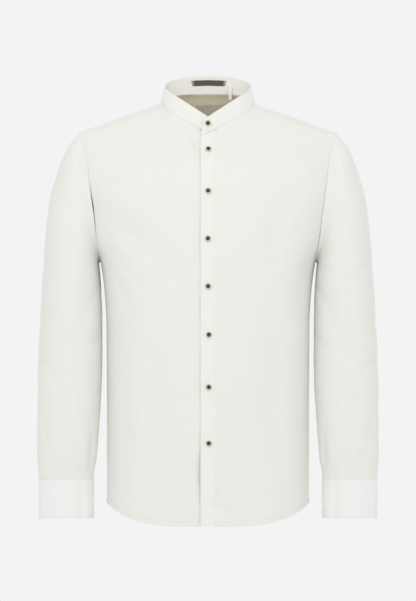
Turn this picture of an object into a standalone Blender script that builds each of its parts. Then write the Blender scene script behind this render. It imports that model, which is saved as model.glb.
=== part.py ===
"""Men's mandarin-collar shirt, filled out as worn, with nobody in it.

Metres, +Z up, the front faces -Y and the wearer's left is +X. The origin is the
middle of the neck base, level with the two side-neck points, where the wearer's
neck and shoulders hold the shirt. Every cloth piece is a thin wall cut from one of
four surfaces (body, collar, sleeve, cuff), so neighbouring pieces share their seams.
"""
import math
from collections import namedtuple

import bpy
import numpy as np

MM = 0.001

# ------------------------------------------------------------- driving dimensions (mm)
WALL = 1.2                  # cloth wall
SEAM = 0.3                  # space between pieces that are sewn together
HALF_SEAM = 0.5 * SEAM

NECK_HALF_WIDTH = 85.5      # side-neck point from the middle
SHOULDER_ROUND = 150.0      # height over which the shoulder rolls into chest and back
SIDE_POWER = 2.5            # squareness of the body's plan section

BACK_NECK_Z = 20.0          # collar seam at the middle of the back
YOKE_FRONT_DROP = 8.0       # front yoke seam below the ridge
YOKE_BACK_Z = -96.0         # back yoke seam
ARMPIT_Z = -285.0
HEM_FRONT_Z = -760.0
HEM_BACK_Z = -757.0
HEM_SIDE_RISE = 40.0        # the hem is this much higher at the side seams
HEM_SIDE_HALF = 183.3
HEM_POWER = 4.0

PLACKET_HALF = 13.5
PLACKET_PROUD = 0.9         # outer face of the placket over the panel's outer face
UNDERLAP_EDGE = 12.0        # how far the right front runs past the middle
UNDERLAP_SINK = 0.9
UNDERLAP_RAMP = (17.5, 28.0)

CUFF_TOP_Z = -677.0
CUFF_BOTTOM_Z = -748.0
CUFF_LAP = 14.0

BUTTON_DIAMETER = 11.4
BUTTON_THICK = 2.2
BUTTON_RIM = 1.9
BUTTON_DISH = 0.7
BUTTON_BEVEL = 0.6
BUTTON_SIDES = 12
BUTTON_SEAT = 0.3

# ------------------------------------------------------------------------ short tables
BodyRow = namedtuple("BodyRow", "z half_width front_depth back_depth")
BODY = (
    BodyRow(20.0, 262.0, 58.0, 112.0),
    BodyRow(0.0, 262.0, 60.0, 98.0),
    BodyRow(-30.0, 262.0, 66.0, 94.0),
    BodyRow(-56.0, 262.0, 68.0, 96.0),
    BodyRow(-100.0, 245.0, 88.0, 103.0),
    BodyRow(-150.0, 233.0, 108.0, 109.0),
    BodyRow(-210.0, 218.5, 117.0, 110.0),
    BodyRow(-257.0, 206.0, 119.0, 108.5),
    BodyRow(-285.0, 195.0, 120.0, 107.0),
    BodyRow(-346.0, 187.0, 119.0, 105.0),
    BodyRow(-400.0, 184.0, 118.0, 103.0),
    BodyRow(-600.0, 183.3, 116.0, 106.0),
    BodyRow(-760.0, 183.3, 118.0, 108.0),
)

# The shoulder ridge; inside the neck the surface goes on rising.
RidgeRow = namedtuple("RidgeRow", "x z")
RIDGE = (
    RidgeRow(0.0, 36.0),
    RidgeRow(30.0, 33.5),
    RidgeRow(59.0, 25.0),
    RidgeRow(85.5, 2.0),
    RidgeRow(112.0, -8.0),
    RidgeRow(160.0, -25.0),
    RidgeRow(234.0, -51.5),
)

ArmholeRow = namedtuple("ArmholeRow", "z x")
ARMHOLE = (
    ArmholeRow(-50.0, 232.0),
    ArmholeRow(-66.0, 227.5),
    ArmholeRow(-94.0, 220.5),
    ArmholeRow(-131.0, 215.5),
    ArmholeRow(-162.0, 211.0),
    ArmholeRow(-212.0, 204.5),
    ArmholeRow(-257.0, 200.0),
    ArmholeRow(-285.0, 195.0),
)

NecklineRow = namedtuple("NecklineRow", "x z")
FRONT_NECK = (
    NecklineRow(0.0, -57.0),
    NecklineRow(15.0, -47.0),
    NecklineRow(46.0, -29.5),
    NecklineRow(72.0, -13.5),
    NecklineRow(85.5, 0.5),
)

CollarRow = namedtuple("CollarRow", "turn x y z")      # turn: 0 middle front, 180 middle back
COLLAR_TOP = (
    CollarRow(0.0, 0.0, -58.0, -24.0),
    CollarRow(22.0, 20.0, -54.0, -11.0),
    CollarRow(45.0, 42.0, -44.0, 3.5),
    CollarRow(66.0, 60.0, -30.0, 15.5),
    CollarRow(84.0, 73.0, -11.0, 25.0),
    CollarRow(97.0, 78.5, 4.0, 33.0),
    CollarRow(118.0, 74.5, 20.0, 40.5),
    CollarRow(138.0, 57.0, 34.0, 48.0),
    CollarRow(160.0, 30.0, 42.5, 53.0),
    CollarRow(180.0, 0.0, 45.5, 54.5),
)

# Rings of the sleeve: the outermost and the innermost point of each, its half depth,
# and how far its middle stands forward.
SleeveRing = namedtuple("SleeveRing", "outer_x outer_z inner_x inner_z half_depth forward")
SLEEVE = (
    SleeveRing(244.0, -65.0, 197.0, -287.5, 61.0, 0.0),
    SleeveRing(257.5, -85.0, 197.0, -291.0, 65.0, 0.0),
    SleeveRing(274.0, -128.0, 196.5, -296.0, 68.0, 1.0),
    SleeveRing(286.0, -171.0, 195.5, -304.0, 70.0, 3.0),
    SleeveRing(292.5, -222.0, 194.5, -318.0, 69.0, 5.0),
    SleeveRing(298.0, -285.0, 193.0, -340.0, 66.0, 8.0),
    SleeveRing(302.5, -365.0, 191.5, -390.0, 61.0, 12.0),
    SleeveRing(306.5, -440.0, 191.0, -450.0, 55.0, 16.0),
    SleeveRing(308.0, -500.0, 192.0, -505.0, 50.0, 20.0),
    SleeveRing(308.0, -560.0, 195.5, -562.0, 45.0, 24.0),
    SleeveRing(308.0, -620.0, 199.5, -620.0, 40.0, 28.0),
    SleeveRing(307.5, -676.4, 204.5, -676.4, 34.0, 31.0),
)
CUFF_OUTER_X = 306.0
CUFF_INNER_X = 206.5
CUFF_HALF_DEPTH = 31.0
CUFF_FORWARD = 31.5

# Largest folds of the front and the back: a soft trough from one end to the other.
Fold = namedtuple("Fold", "side x0 z0 x1 z1 width depth")
FOLDS = (
    Fold("front", -196.0, -190.0, -66.0, -300.0, 24.0, 5.0),
    Fold("front", 146.0, -140.0, 98.0, -330.0, 22.0, 4.0),
    Fold("front", 190.0, -262.0, 158.0, -380.0, 16.0, 3.5),
    Fold("front", -96.0, -470.0, -92.0, -752.0, 22.0, 6.0),
    Fold("front", 118.0, -390.0, 124.0, -680.0, 24.0, 5.0),
    Fold("back", -178.0, -215.0, -92.0, -420.0, 26.0, 5.0),
    Fold("back", 178.0, -215.0, 104.0, -400.0, 24.0, 5.0),
    Fold("back", -60.0, -430.0, -72.0, -750.0, 26.0, 6.0),
    Fold("back", 66.0, -480.0, 58.0, -750.0, 24.0, 5.0),
)

ButtonRow = namedtuple("ButtonRow", "x z turn")
COLLAR_BUTTON = ButtonRow(-0.6, -37.0, 20.0)
FRONT_BUTTONS = (
    ButtonRow(0.6, -84.0, -14.0),
    ButtonRow(0.6, -159.5, 35.0),
    ButtonRow(0.0, -245.0, 5.0),
    ButtonRow(0.6, -330.0, 60.0),
    ButtonRow(1.8, -417.0, 28.0),
    ButtonRow(1.2, -511.0, -40.0),
    ButtonRow(1.6, -611.5, 12.0),
)

Finish = namedtuple("Finish", "color roughness metallic")
LINEN = Finish((0.83, 0.83, 0.80, 1.0), 0.85, 0.0)
HORN = Finish((0.42, 0.33, 0.20, 1.0), 0.35, 0.0)
TAPE = Finish((0.075, 0.062, 0.052, 1.0), 0.7, 0.0)
LABEL = Finish((0.62, 0.60, 0.53, 1.0), 0.8, 0.0)


# -------------------------------------------------------------------------- small maths
def smooth_curve(knots, values):
    """A smooth curve through the knots that never overshoots its values."""
    order = np.argsort(knots)
    xs = np.asarray(knots, float)[order]
    ys = np.asarray(values, float)[order]
    steps = np.diff(xs)
    slopes = np.diff(ys) / steps
    tangents = np.empty_like(ys)
    tangents[0] = slopes[0]
    tangents[-1] = slopes[-1]
    for i in range(1, len(xs) - 1):
        before, after = slopes[i - 1], slopes[i]
        tangents[i] = 0.0 if before * after <= 0 else 2.0 * before * after / (before + after)

    def at(x):
        x = min(max(x, xs[0]), xs[-1])
        i = min(int(np.searchsorted(xs, x, side="right")) - 1, len(xs) - 2)
        t = (x - xs[i]) / steps[i]
        rise = t * t * (3.0 - 2.0 * t)
        return ((1.0 - rise) * ys[i] + rise * ys[i + 1]
                + steps[i] * t * (1.0 - t) * ((1.0 - t) * tangents[i] - t * tangents[i + 1]))

    return at


def column(table, name):
    return [getattr(row, name) for row in table]


def ease(x, low, high):
    t = min(max((x - low) / (high - low), 0.0), 1.0)
    return t * t * (3.0 - 2.0 * t)


def mix(a, b, t):
    return a + (b - a) * t


def unit(v):
    return v / max(np.linalg.norm(v), 1e-12)


half_width_at = smooth_curve(column(BODY, "z"), column(BODY, "half_width"))
front_depth_at = smooth_curve(column(BODY, "z"), column(BODY, "front_depth"))
back_depth_at = smooth_curve(column(BODY, "z"), column(BODY, "back_depth"))
armhole_x_at = smooth_curve(column(ARMHOLE, "z"), column(ARMHOLE, "x"))
ridge_z_at = smooth_curve(column(RIDGE, "x"), column(RIDGE, "z"))
front_neck_z_at = smooth_curve(column(FRONT_NECK, "x"), column(FRONT_NECK, "z"))
collar_top_at = [smooth_curve(column(COLLAR_TOP, "turn"), column(COLLAR_TOP, axis))
                 for axis in ("x", "y", "z")]


# ------------------------------------------------------------------------ body surface
ROLL_SWITCH = 0.4            # share of the shoulder roll past which normals come from the plan


def ridge_z(x):
    return ridge_z_at(abs(x))


def body_depth(z, side):
    return front_depth_at(z) if side < 0 else back_depth_at(z)


def plan_round(x, z):
    """1 at the middle of the body, 0 at its side."""
    share = min(abs(x) / half_width_at(z), 1.0)
    return (1.0 - share ** SIDE_POWER) ** (1.0 / SIDE_POWER)


def shoulder_round(x, z):
    """0 on the shoulder ridge, 1 where the shoulder has rolled into the body."""
    share = min(max((ridge_z(x) - z) / SHOULDER_ROUND, 0.0), 1.0)
    return math.sqrt(1.0 - (1.0 - share) ** 2)


def fold_sink(x, z, side):
    """How far the folds push the cloth inwards at a point of the front or back."""
    total = 0.0
    for fold in FOLDS:
        if (fold.side == "front") != (side < 0):
            continue
        run = np.array([fold.x1 - fold.x0, fold.z1 - fold.z0])
        along = float(np.dot([x - fold.x0, z - fold.z0], run) / np.dot(run, run))
        near = min(max(along, 0.0), 1.0)
        gap = math.hypot(x - fold.x0 - near * run[0], z - fold.z0 - near * run[1])
        fade = math.sin(math.pi * min(max(0.5 + (along - 0.5) * 0.8, 0.0), 1.0))
        total += fold.depth * fade * math.exp(-(gap / fold.width) ** 2)
    return total * plan_round(x, z)


def body_normal(x, y, z):
    """Outward normal of the unfolded body surface."""
    side = -1.0 if y < 0 else 1.0

    def level(p):
        depth = abs(p[1]) / body_depth(p[2], side)
        width = abs(p[0]) / half_width_at(p[2])
        share = (ridge_z(p[0]) - p[2]) / SHOULDER_ROUND
        if share > ROLL_SWITCH:
            top = 1.0 if share >= 1.0 else math.sqrt(1.0 - (1.0 - share) ** 2)
            return width ** SIDE_POWER + (depth / top) ** SIDE_POWER - 1.0
        plan = (1.0 - min(width, 0.999) ** SIDE_POWER) ** (1.0 / SIDE_POWER)
        return (depth / plan) ** 2 + (1.0 - share) ** 2 - 1.0

    here = np.array([x, y, z])
    nudge = 0.05
    slope = np.zeros(3)
    for axis in range(3):
        step = np.zeros(3)
        step[axis] = nudge
        slope[axis] = level(here + step) - level(here - step)
    return unit(slope)


def body_point(x, z, side):
    """Outer surface of the front (side -1) or the back (side 1), and its normal."""
    y = side * body_depth(z, side) * plan_round(x, z) * shoulder_round(x, z)
    normal = body_normal(x, y, z)
    y -= side * fold_sink(x, z, side)
    return np.array([x, y, z]), normal


def edge_x(z):
    """Half width of the panels: the armhole above the armpit, the side seam below."""
    return armhole_x_at(z) if z > ARMPIT_Z else half_width_at(z)


def hem_z(x, middle_z):
    return middle_z + HEM_SIDE_RISE * (abs(x) / HEM_SIDE_HALF) ** HEM_POWER


def front_top_z(x):
    """Top of the front: the neckline, then the front yoke seam."""
    seam = ridge_z(x) - YOKE_FRONT_DROP
    if abs(x) >= NECK_HALF_WIDTH:
        return seam
    return min(front_neck_z_at(abs(x)), seam)


def neck_corner_x():
    """Where the neckline meets the front yoke seam."""
    low, high = 60.0, NECK_HALF_WIDTH
    for _ in range(40):
        x = 0.5 * (low + high)
        if front_neck_z_at(x) < ridge_z(x) - YOKE_FRONT_DROP:
            low = x
        else:
            high = x
    return 0.5 * (low + high)


NECK_CORNER = neck_corner_x()

# Levels of the panels' rows at their outer edges, from the side hem to the top.
SIDE_ROWS = [mix(HEM_FRONT_Z + HEM_SIDE_RISE, ARMPIT_Z, i / 10.0) for i in range(11)]
FRONT_ARMHOLE_TOP = -60.0
FRONT_ARM_ROWS = [mix(ARMPIT_Z, FRONT_ARMHOLE_TOP, t)
                  for t in (0.05, 0.13, 0.25, 0.39, 0.53, 0.67, 0.8, 0.91, 1.0)]
BACK_ARM_ROWS = [mix(ARMPIT_Z, YOKE_BACK_Z, t) for t in (0.06, 0.16, 0.3, 0.46, 0.62, 0.8, 1.0)]

NECK_COLUMNS = 5
SHOULDER_COLUMNS = 6
BACK_COLUMNS = 22
YOKE_NECK_COLUMNS = 7
YOKE_ROWS = 6
MID_SHOULDER_X = 150.0
SIDE_SEAM_EASE = 0.05       # keeps the side seam open beside its turned edges
PLACKET_INNER = 0.4 * PLACKET_HALF
YOKE_FAN_X = 94.0           # where the neck corner's column meets the back seam


# ------------------------------------------------------------------------ mesh helpers
def material(name, finish):
    made = bpy.data.materials.new(name)
    made.use_nodes = True
    shader = made.node_tree.nodes["Principled BSDF"]
    shader.inputs["Base Color"].default_value = finish.color
    shader.inputs["Roughness"].default_value = finish.roughness
    shader.inputs["Metallic"].default_value = finish.metallic
    made.diffuse_color = finish.color
    return made


def add_object(name, points, faces, finish):
    mesh = bpy.data.meshes.new(name)
    mesh.from_pydata([tuple(float(c) * MM for c in p) for p in points], [], faces)
    mesh.validate()
    mesh.shade_smooth()
    mesh.materials.append(material(name, finish))
    made = bpy.data.objects.new(name, mesh)
    bpy.context.scene.collection.objects.link(made)
    return made


def add_wall(name, outer, inner, finish, round_tube=False):
    """A closed wall between two equal grids of points (rows by columns)."""
    rows, columns = len(outer), len(outer[0])
    points = [p for row in outer for p in row] + [p for row in inner for p in row]
    count = rows * columns
    faces = []
    spans = columns if round_tube else columns - 1
    for r in range(rows - 1):
        for c in range(spans):
            a = r * columns + c
            b = r * columns + (c + 1) % columns
            faces.append((a, b, b + columns, a + columns))
            faces.append((a + columns + count, b + columns + count, b + count, a + count))
    for c in range(spans):
        a, b = c, (c + 1) % columns
        faces.append((b, a, a + count, b + count))
        a += (rows - 1) * columns
        b += (rows - 1) * columns
        faces.append((a, b, b + count, a + count))
    if not round_tube:
        for r in range(rows - 1):
            a, b = r * columns, (r + 1) * columns
            faces.append((a, b, b + count, a + count))
            a += columns - 1
            b += columns - 1
            faces.append((b, a, a + count, b + count))
    solid = add_object(name, points, faces, finish)
    turn_out(solid)
    return solid


def turn_out(solid):
    """Make the faces point outwards, by the sign of the enclosed volume."""
    mesh = solid.data
    mesh.calc_loop_triangles()
    volume = 0.0
    for tri in mesh.loop_triangles:
        a, b, c = (mesh.vertices[i].co for i in tri.vertices)
        volume += a.dot(b.cross(c))
    if volume < 0.0:
        mesh.flip_normals()


def wall_from_surface(name, grid, finish, lift=0.0, wall=WALL, round_tube=False):
    """A wall from (point, normal) pairs, its outer face lifted off the surface."""
    outer = [[p + n * lift for p, n in row] for row in grid]
    inner = [[p + n * (lift - wall) for p, n in row] for row in grid]
    return add_wall(name, outer, inner, finish, round_tube)


# ------------------------------------------------------------------------------ fronts
def front_shares(inner_x, top_x):
    """Shares of the width, with one column on the corner of neckline and yoke seam."""
    corner = (NECK_CORNER - inner_x) / (top_x - inner_x)
    neck = [corner * i / NECK_COLUMNS for i in range(NECK_COLUMNS)]
    shoulder = [corner + (1.0 - corner) * math.sin(0.5 * math.pi * i / SHOULDER_COLUMNS)
                for i in range(SHOULDER_COLUMNS + 1)]
    return neck + shoulder


def front_row_shares():
    """Share of the height of each row, from the levels of the panel's outer edge."""
    levels = SIDE_ROWS + FRONT_ARM_ROWS
    span = levels[-1] - levels[0]
    return [(z - levels[0]) / span for z in levels], levels


def front_z(x_low, x_top, share):
    """Height of a row between the hem and the top boundary of a column."""
    top = front_top_z(x_top) - HALF_SEAM
    return mix(hem_z(x_low, HEM_FRONT_Z), top, share)


def front_grid(strip, inner_x, mirror, lift_at):
    """Rows by columns of (point, normal) for one front, from its centre edge outwards.

    The strip's columns keep their x at every row; the others spread from inner_x
    to the panel's outer edge.
    """
    shares, levels = front_row_shares()
    top_x = edge_x(levels[-1])
    low_x = edge_x(levels[0])
    grid = []
    for share, level in zip(shares, levels):
        row = []
        for x in strip:
            point, normal = body_point(x * mirror, front_z(x, x, share), -1.0)
            row.append((point + normal * lift_at(x), normal))
        for part in front_shares(inner_x, top_x):
            x = mix(inner_x, edge_x(level), part)
            z = front_z(mix(inner_x, low_x, part), mix(inner_x, top_x, part), share)
            if part == 1.0:
                z = level
            point, normal = body_point(x * mirror, z, -1.0)
            point += normal * lift_at(x)
            if part == 1.0 and level <= ARMPIT_Z:
                point[1] -= HALF_SEAM + SIDE_SEAM_EASE
            row.append((point, normal))
        grid.append(row)
    return grid


def placket_grid():
    """The placket strip, on the same rows as the fronts."""
    shares, levels = front_row_shares()
    grid = []
    for share in shares:
        row = []
        for x in (-PLACKET_HALF, -PLACKET_INNER, PLACKET_INNER, PLACKET_HALF):
            z = front_z(x, x, share)
            row.append(body_point(x, z, -1.0))
        grid.append(row)
    return grid


def build_fronts():
    left = front_grid((), PLACKET_HALF + SEAM, 1.0, lambda x: 0.0)
    wall_from_surface("front_left", left, LINEN)

    def underlap(x):
        return -UNDERLAP_SINK * (1.0 - ease(x, *UNDERLAP_RAMP))

    strip = (-UNDERLAP_EDGE, 0.5 * (UNDERLAP_RAMP[0] - UNDERLAP_EDGE))
    right = front_grid(strip, UNDERLAP_RAMP[0], -1.0, underlap)
    wall_from_surface("front_right", right, LINEN)
    wall_from_surface("placket", placket_grid(), LINEN, lift=PLACKET_PROUD)
    return left, right


# -------------------------------------------------------------------------------- back
def build_back():
    levels = SIDE_ROWS + BACK_ARM_ROWS
    top = levels[-1] - HALF_SEAM
    grid = []
    for level in levels:
        share = (level - levels[0]) / (levels[-1] - levels[0])
        row = []
        for i in range(BACK_COLUMNS + 1):
            part = math.sin(math.pi * (i / BACK_COLUMNS - 0.5))
            x = part * edge_x(level)
            z = mix(hem_z(part * edge_x(levels[0]), HEM_BACK_Z), top, share)
            at_edge = i in (0, BACK_COLUMNS)
            if at_edge:
                z = min(level, top)
            point, normal = body_point(x, z, 1.0)
            if at_edge and level <= ARMPIT_Z:
                point[1] += HALF_SEAM + SIDE_SEAM_EASE
            row.append((point, normal))
        grid.append(row)
    wall_from_surface("back", grid, LINEN)
    return grid


# -------------------------------------------------------------------------------- yoke
def roll_angle(x, z):
    """Angle round the shoulder roll of a point at this height: 0 on the ridge."""
    share = min(max((ridge_z(x) - z) / SHOULDER_ROUND, 0.0), 1.0)
    return math.acos(1.0 - share)


def yoke_point(x, angle):
    """Point of the yoke; a negative angle is in front of the ridge."""
    side = -1.0 if angle < 0 else 1.0
    z = ridge_z(x) - SHOULDER_ROUND * (1.0 - math.cos(angle))
    y = side * body_depth(z, side) * plan_round(x, z) * abs(math.sin(angle))
    here = np.array([x, y, z])
    if abs(angle) < 0.02:
        across = np.array([0.0, 1.0, 0.0])
        along = np.array([2.0, 0.0, ridge_z(x + 1.0) - ridge_z(x - 1.0)])
        return here, unit(np.cross(along, across))
    return here, body_normal(x, y, z)


def yoke_half():
    """Columns of one half from the middle back, over the neck, to the armhole."""
    front_angle = -roll_angle(MID_SHOULDER_X, ridge_z(MID_SHOULDER_X) - YOKE_FRONT_DROP + HALF_SEAM)
    middle_angle = roll_angle(0.0, BACK_NECK_Z)
    columns = []

    def corner_x(share):
        """The column from the neck corner swings out round the side of the neck."""
        return mix(NECK_CORNER, YOKE_FAN_X, math.sqrt(share))

    for i in range(YOKE_NECK_COLUMNS + 1):
        part = i / YOKE_NECK_COLUMNS
        if i < YOKE_NECK_COLUMNS:
            turn = 0.5 * math.pi * i / (YOKE_NECK_COLUMNS - 1)
            top_x = NECK_HALF_WIDTH * math.sin(turn)
            start = middle_angle * math.cos(turn)
        else:
            top_x = NECK_CORNER
            start = front_angle
        low_x = YOKE_FAN_X * part
        column_points = []
        for r in range(YOKE_ROWS + 1):
            share = r / YOKE_ROWS
            x = mix(top_x, low_x, share) if part < 1.0 else corner_x(share)
            end = roll_angle(x, YOKE_BACK_Z + HALF_SEAM)
            column_points.append(yoke_point(x, mix(start, end, share)))
        columns.append(column_points)
    for i in range(1, SHOULDER_COLUMNS + 1):
        part = math.sin(0.5 * math.pi * i / SHOULDER_COLUMNS)
        column_points = []
        for r in range(YOKE_ROWS + 1):
            share = r / YOKE_ROWS
            rim_x = edge_x(FRONT_ARMHOLE_TOP)
            for _ in range(12):
                end = roll_angle(rim_x, YOKE_BACK_Z + HALF_SEAM)
                angle = mix(front_angle, end, share)
                rim_x = edge_x(ridge_z(rim_x) - SHOULDER_ROUND * (1.0 - math.cos(angle)))
            x = mix(corner_x(share), rim_x, part)
            end = roll_angle(x, YOKE_BACK_Z + HALF_SEAM)
            column_points.append(yoke_point(x, mix(front_angle, end, share)))
        columns.append(column_points)
    return columns


def mirrored(pair):
    point, normal = pair
    flip = np.array([-1.0, 1.0, 1.0])
    return point * flip, normal * flip


def build_yoke():
    half = yoke_half()
    other = [[mirrored(pair) for pair in column_points] for column_points in half[:0:-1]]
    columns = other + half
    grid = [[column_points[r] for column_points in columns] for r in range(YOKE_ROWS + 1)]
    wall_from_surface("yoke", grid, LINEN)
    return half, columns


# ------------------------------------------------------------------------------ collar
def neck_stations(front, yoke_columns):
    """Seam points of one half of the neck, from the front's centre edge to the back."""
    corner = len(front[-1]) - SHOULDER_COLUMNS - 1
    seam = [pair[0] for pair in front[-1][:corner]]
    return seam + [column_points[0][0] for column_points in yoke_columns[YOKE_NECK_COLUMNS::-1]]


NECK_FLATNESS = 1.25         # how much wider than deep the neck is


def collar_turn(point):
    """Turn about the neck's own middle, 0 at the front and 180 at the back."""
    return math.degrees(math.atan2(abs(point[0]), -point[1] * NECK_FLATNESS))


def collar_span(point):
    """Lower and upper edge of the band at a seam point."""
    turn = collar_turn(point)
    top = np.array([curve(turn) for curve in collar_top_at])
    top[0] = math.copysign(top[0], point[0]) if abs(point[0]) > 1e-9 else 0.0
    low = point + unit(top - point) * SEAM
    return low, top


COLLAR_LAYERS = 3
NECK_MIDDLE_Y = 5.0


def collar_columns(points):
    """(point, normal) pairs of the band for a run of seam points."""
    spans = [collar_span(p) for p in points]
    columns = []
    for i, (low, top) in enumerate(spans):
        before = spans[max(i - 1, 0)]
        after = spans[min(i + 1, len(spans) - 1)]
        column_points = []
        for r in range(COLLAR_LAYERS + 1):
            share = r / COLLAR_LAYERS
            here = mix(low, top, share)
            along = mix(after[0], after[1], share) - mix(before[0], before[1], share)
            normal = unit(np.cross(along, top - low))
            if normal[0] * here[0] + normal[1] * (here[1] - NECK_MIDDLE_Y) < 0:
                normal = -normal
            column_points.append((here, normal))
        columns.append(column_points)
    return columns


def neckline_point(x):
    point, _ = body_point(x, front_top_z(x) - HALF_SEAM, -1.0)
    return point


def build_collar(front_left, front_right, yoke_columns):
    """The band, from its under end on the right front to its over end on the placket."""
    left = neck_stations(front_left, yoke_columns)
    yoke_right = [[mirrored(pair) for pair in points] for points in yoke_columns]
    right = neck_stations(front_right, yoke_right)
    over_x = (PLACKET_INNER, -PLACKET_INNER, -PLACKET_HALF)
    over = [neckline_point(x) for x in over_x]
    columns = collar_columns(right + left[-2::-1] + over)
    lapped = len(over) + 1
    lifts = [0.0] * (len(columns) - lapped) + [PLACKET_PROUD] * lapped
    placed = [[(p + n * lift, n) for p, n in column_points]
              for column_points, lift in zip(columns, lifts)]
    grid = [[column_points[r] for column_points in placed] for r in range(COLLAR_LAYERS + 1)]
    wall_from_surface("collar", grid, LINEN)
    return placed


# ----------------------------------------------------------------------------- sleeves
def armhole_loop(front, back, yoke_columns):
    """(point, normal, way out) round the left armhole: armpit, front, top, back."""
    first_arm = len(SIDE_ROWS) - 1
    loop = []
    for r in range(first_arm, len(front)):
        point, normal = front[r][-1]
        inside = front[r][-2][0]
        loop.append((point.copy(), normal, unit(point - inside)))
    for r in range(1, YOKE_ROWS):
        point, normal = yoke_columns[-1][r]
        inside = yoke_columns[-2][r][0]
        loop.append((point, normal, unit(point - inside)))
    for r in range(len(back) - 1, first_arm, -1):
        point, normal = back[r][-1]
        inside = back[r][-2][0]
        loop.append((point, normal, unit(point - inside)))
    loop[0][0][1] = 0.0
    return loop


def ring_point(ring, angle):
    """Point of a sleeve ring: angle 0 is the innermost point, pi the outermost."""
    inner = np.array([ring.inner_x, -ring.forward, ring.inner_z])
    outer = np.array([ring.outer_x, -ring.forward, ring.outer_z])
    middle = 0.5 * (inner + outer)
    half = 0.5 * (inner - outer)
    return middle + half * math.cos(angle) + np.array([0.0, -ring.half_depth, 0.0]) * math.sin(angle)


ARMHOLE_HALF_DEPTH = 60.0
SLEEVE_EVEN_ROWS = (-0.5, 7.0)   # rows over which the columns become evenly spread


def loop_angles(loop):
    """Ring angle of each armhole point, from where it lies on the loop."""
    top = max(loop, key=lambda item: item[0][2])[0]
    low = loop[0][0]
    middle = 0.5 * (top + low)
    half = 0.5 * (low - top)
    angles = []
    for point, _, _ in loop:
        away = point - middle
        up = float(np.dot(away, half) / np.dot(half, half))
        angles.append(math.atan2(-away[1] / ARMHOLE_HALF_DEPTH, up) % (2.0 * math.pi))
    return angles


def sleeve_grid(loop):
    """Outer points of the sleeve, row 0 at the armhole and the last at the cuff."""
    angles = loop_angles(loop)
    rows = [[item[0].copy() for item in loop]]
    even = [2.0 * math.pi * i / len(loop) for i in range(len(loop))]
    for k, ring in enumerate(SLEEVE):
        share = ease(k, *SLEEVE_EVEN_ROWS)
        row = [ring_point(ring, mix(a, e, share)) for a, e in zip(angles, even)]
        rows.append(row)
    return rows


def grid_normals(rows):
    """Normals of a tube of points, away from the middle of each row."""
    count = len(rows[0])
    normals = []
    for r, row in enumerate(rows):
        middle = sum(row) / count
        before = rows[max(r - 1, 0)]
        after = rows[min(r + 1, len(rows) - 1)]
        line = []
        for c, here in enumerate(row):
            around = row[(c + 1) % count] - row[c - 1]
            down = after[c] - before[c]
            normal = unit(np.cross(around, down))
            if np.dot(normal, here - middle) < 0:
                normal = -normal
            line.append(normal)
        normals.append(line)
    return normals


def build_sleeve(name, loop, mirror):
    rows = sleeve_grid(loop)
    normals = grid_normals(rows)
    outer, inner = [], []
    for r, row in enumerate(rows):
        out_line, in_line = [], []
        for c, here in enumerate(row):
            normal = normals[r][c]
            if r == 0:
                _, body_out, way = loop[c]
                smooth = ease(float(np.dot(body_out, normal)), 0.0, 0.5)
                here = here + way * SEAM * smooth + body_out * 2.0 * SEAM * (1.0 - smooth)
                normal = unit(body_out * smooth + normal * (1.0 - smooth))
            out_line.append(here)
            in_line.append(here - normal * WALL)
        outer.append(out_line)
        inner.append(in_line)
    flip = np.array([mirror, 1.0, 1.0])
    outer = [[p * flip for p in line] for line in outer]
    inner = [[p * flip for p in line] for line in inner]
    return add_wall(name, outer, inner, LINEN, round_tube=True)


# ------------------------------------------------------------------------------- cuffs
CUFF_STATIONS = 26
CUFF_MEAN_RADIUS = 45.0
CUFF_JOIN = 1.36 * math.pi     # behind, towards the outer side
CUFF_UNDER_SHARES = (0.07, 0.13)
CUFF_UNDER_SINK = 1.9


def cuff_point(angle, z, lift=0.0):
    """Point of the cuff; angle 0 is the innermost point and 90 degrees the front."""
    middle_x = 0.5 * (CUFF_OUTER_X + CUFF_INNER_X)
    half_x = 0.5 * (CUFF_OUTER_X - CUFF_INNER_X)
    normal = unit(np.array([-math.cos(angle) / half_x, -math.sin(angle) / CUFF_HALF_DEPTH, 0.0]))
    point = np.array([middle_x - half_x * math.cos(angle),
                      -CUFF_FORWARD - CUFF_HALF_DEPTH * math.sin(angle), z])
    return point + normal * lift, normal


def build_cuff(name, mirror):
    """A band whose ends lap at the back, the outer end over the inner one."""
    join = CUFF_JOIN
    lap = CUFF_LAP / CUFF_MEAN_RADIUS
    start, stop = join - lap, join + 2.0 * math.pi
    flip = np.array([mirror, 1.0, 1.0])
    grid = []
    for z in (CUFF_TOP_Z, mix(CUFF_TOP_Z, CUFF_BOTTOM_Z, 0.5), CUFF_BOTTOM_Z):
        row = []
        for i in range(CUFF_STATIONS + 1):
            share = i / CUFF_STATIONS
            angle = mix(start, stop, share)
            under = 1.0 - ease(share, *CUFF_UNDER_SHARES)
            point, normal = cuff_point(angle, z, -CUFF_UNDER_SINK * under)
            row.append((point * flip, normal * flip))
        grid.append(row)
    wall_from_surface(name, grid, LINEN)
    return join


# ----------------------------------------------------------------------------- buttons
def button_profile():
    radius = 0.5 * BUTTON_DIAMETER
    return ((radius - BUTTON_BEVEL, 0.0), (radius, 0.5 * BUTTON_THICK),
            (radius - BUTTON_BEVEL, BUTTON_THICK), (radius - BUTTON_RIM, BUTTON_THICK),
            (radius - BUTTON_RIM - BUTTON_BEVEL, BUTTON_THICK - BUTTON_DISH))


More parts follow.
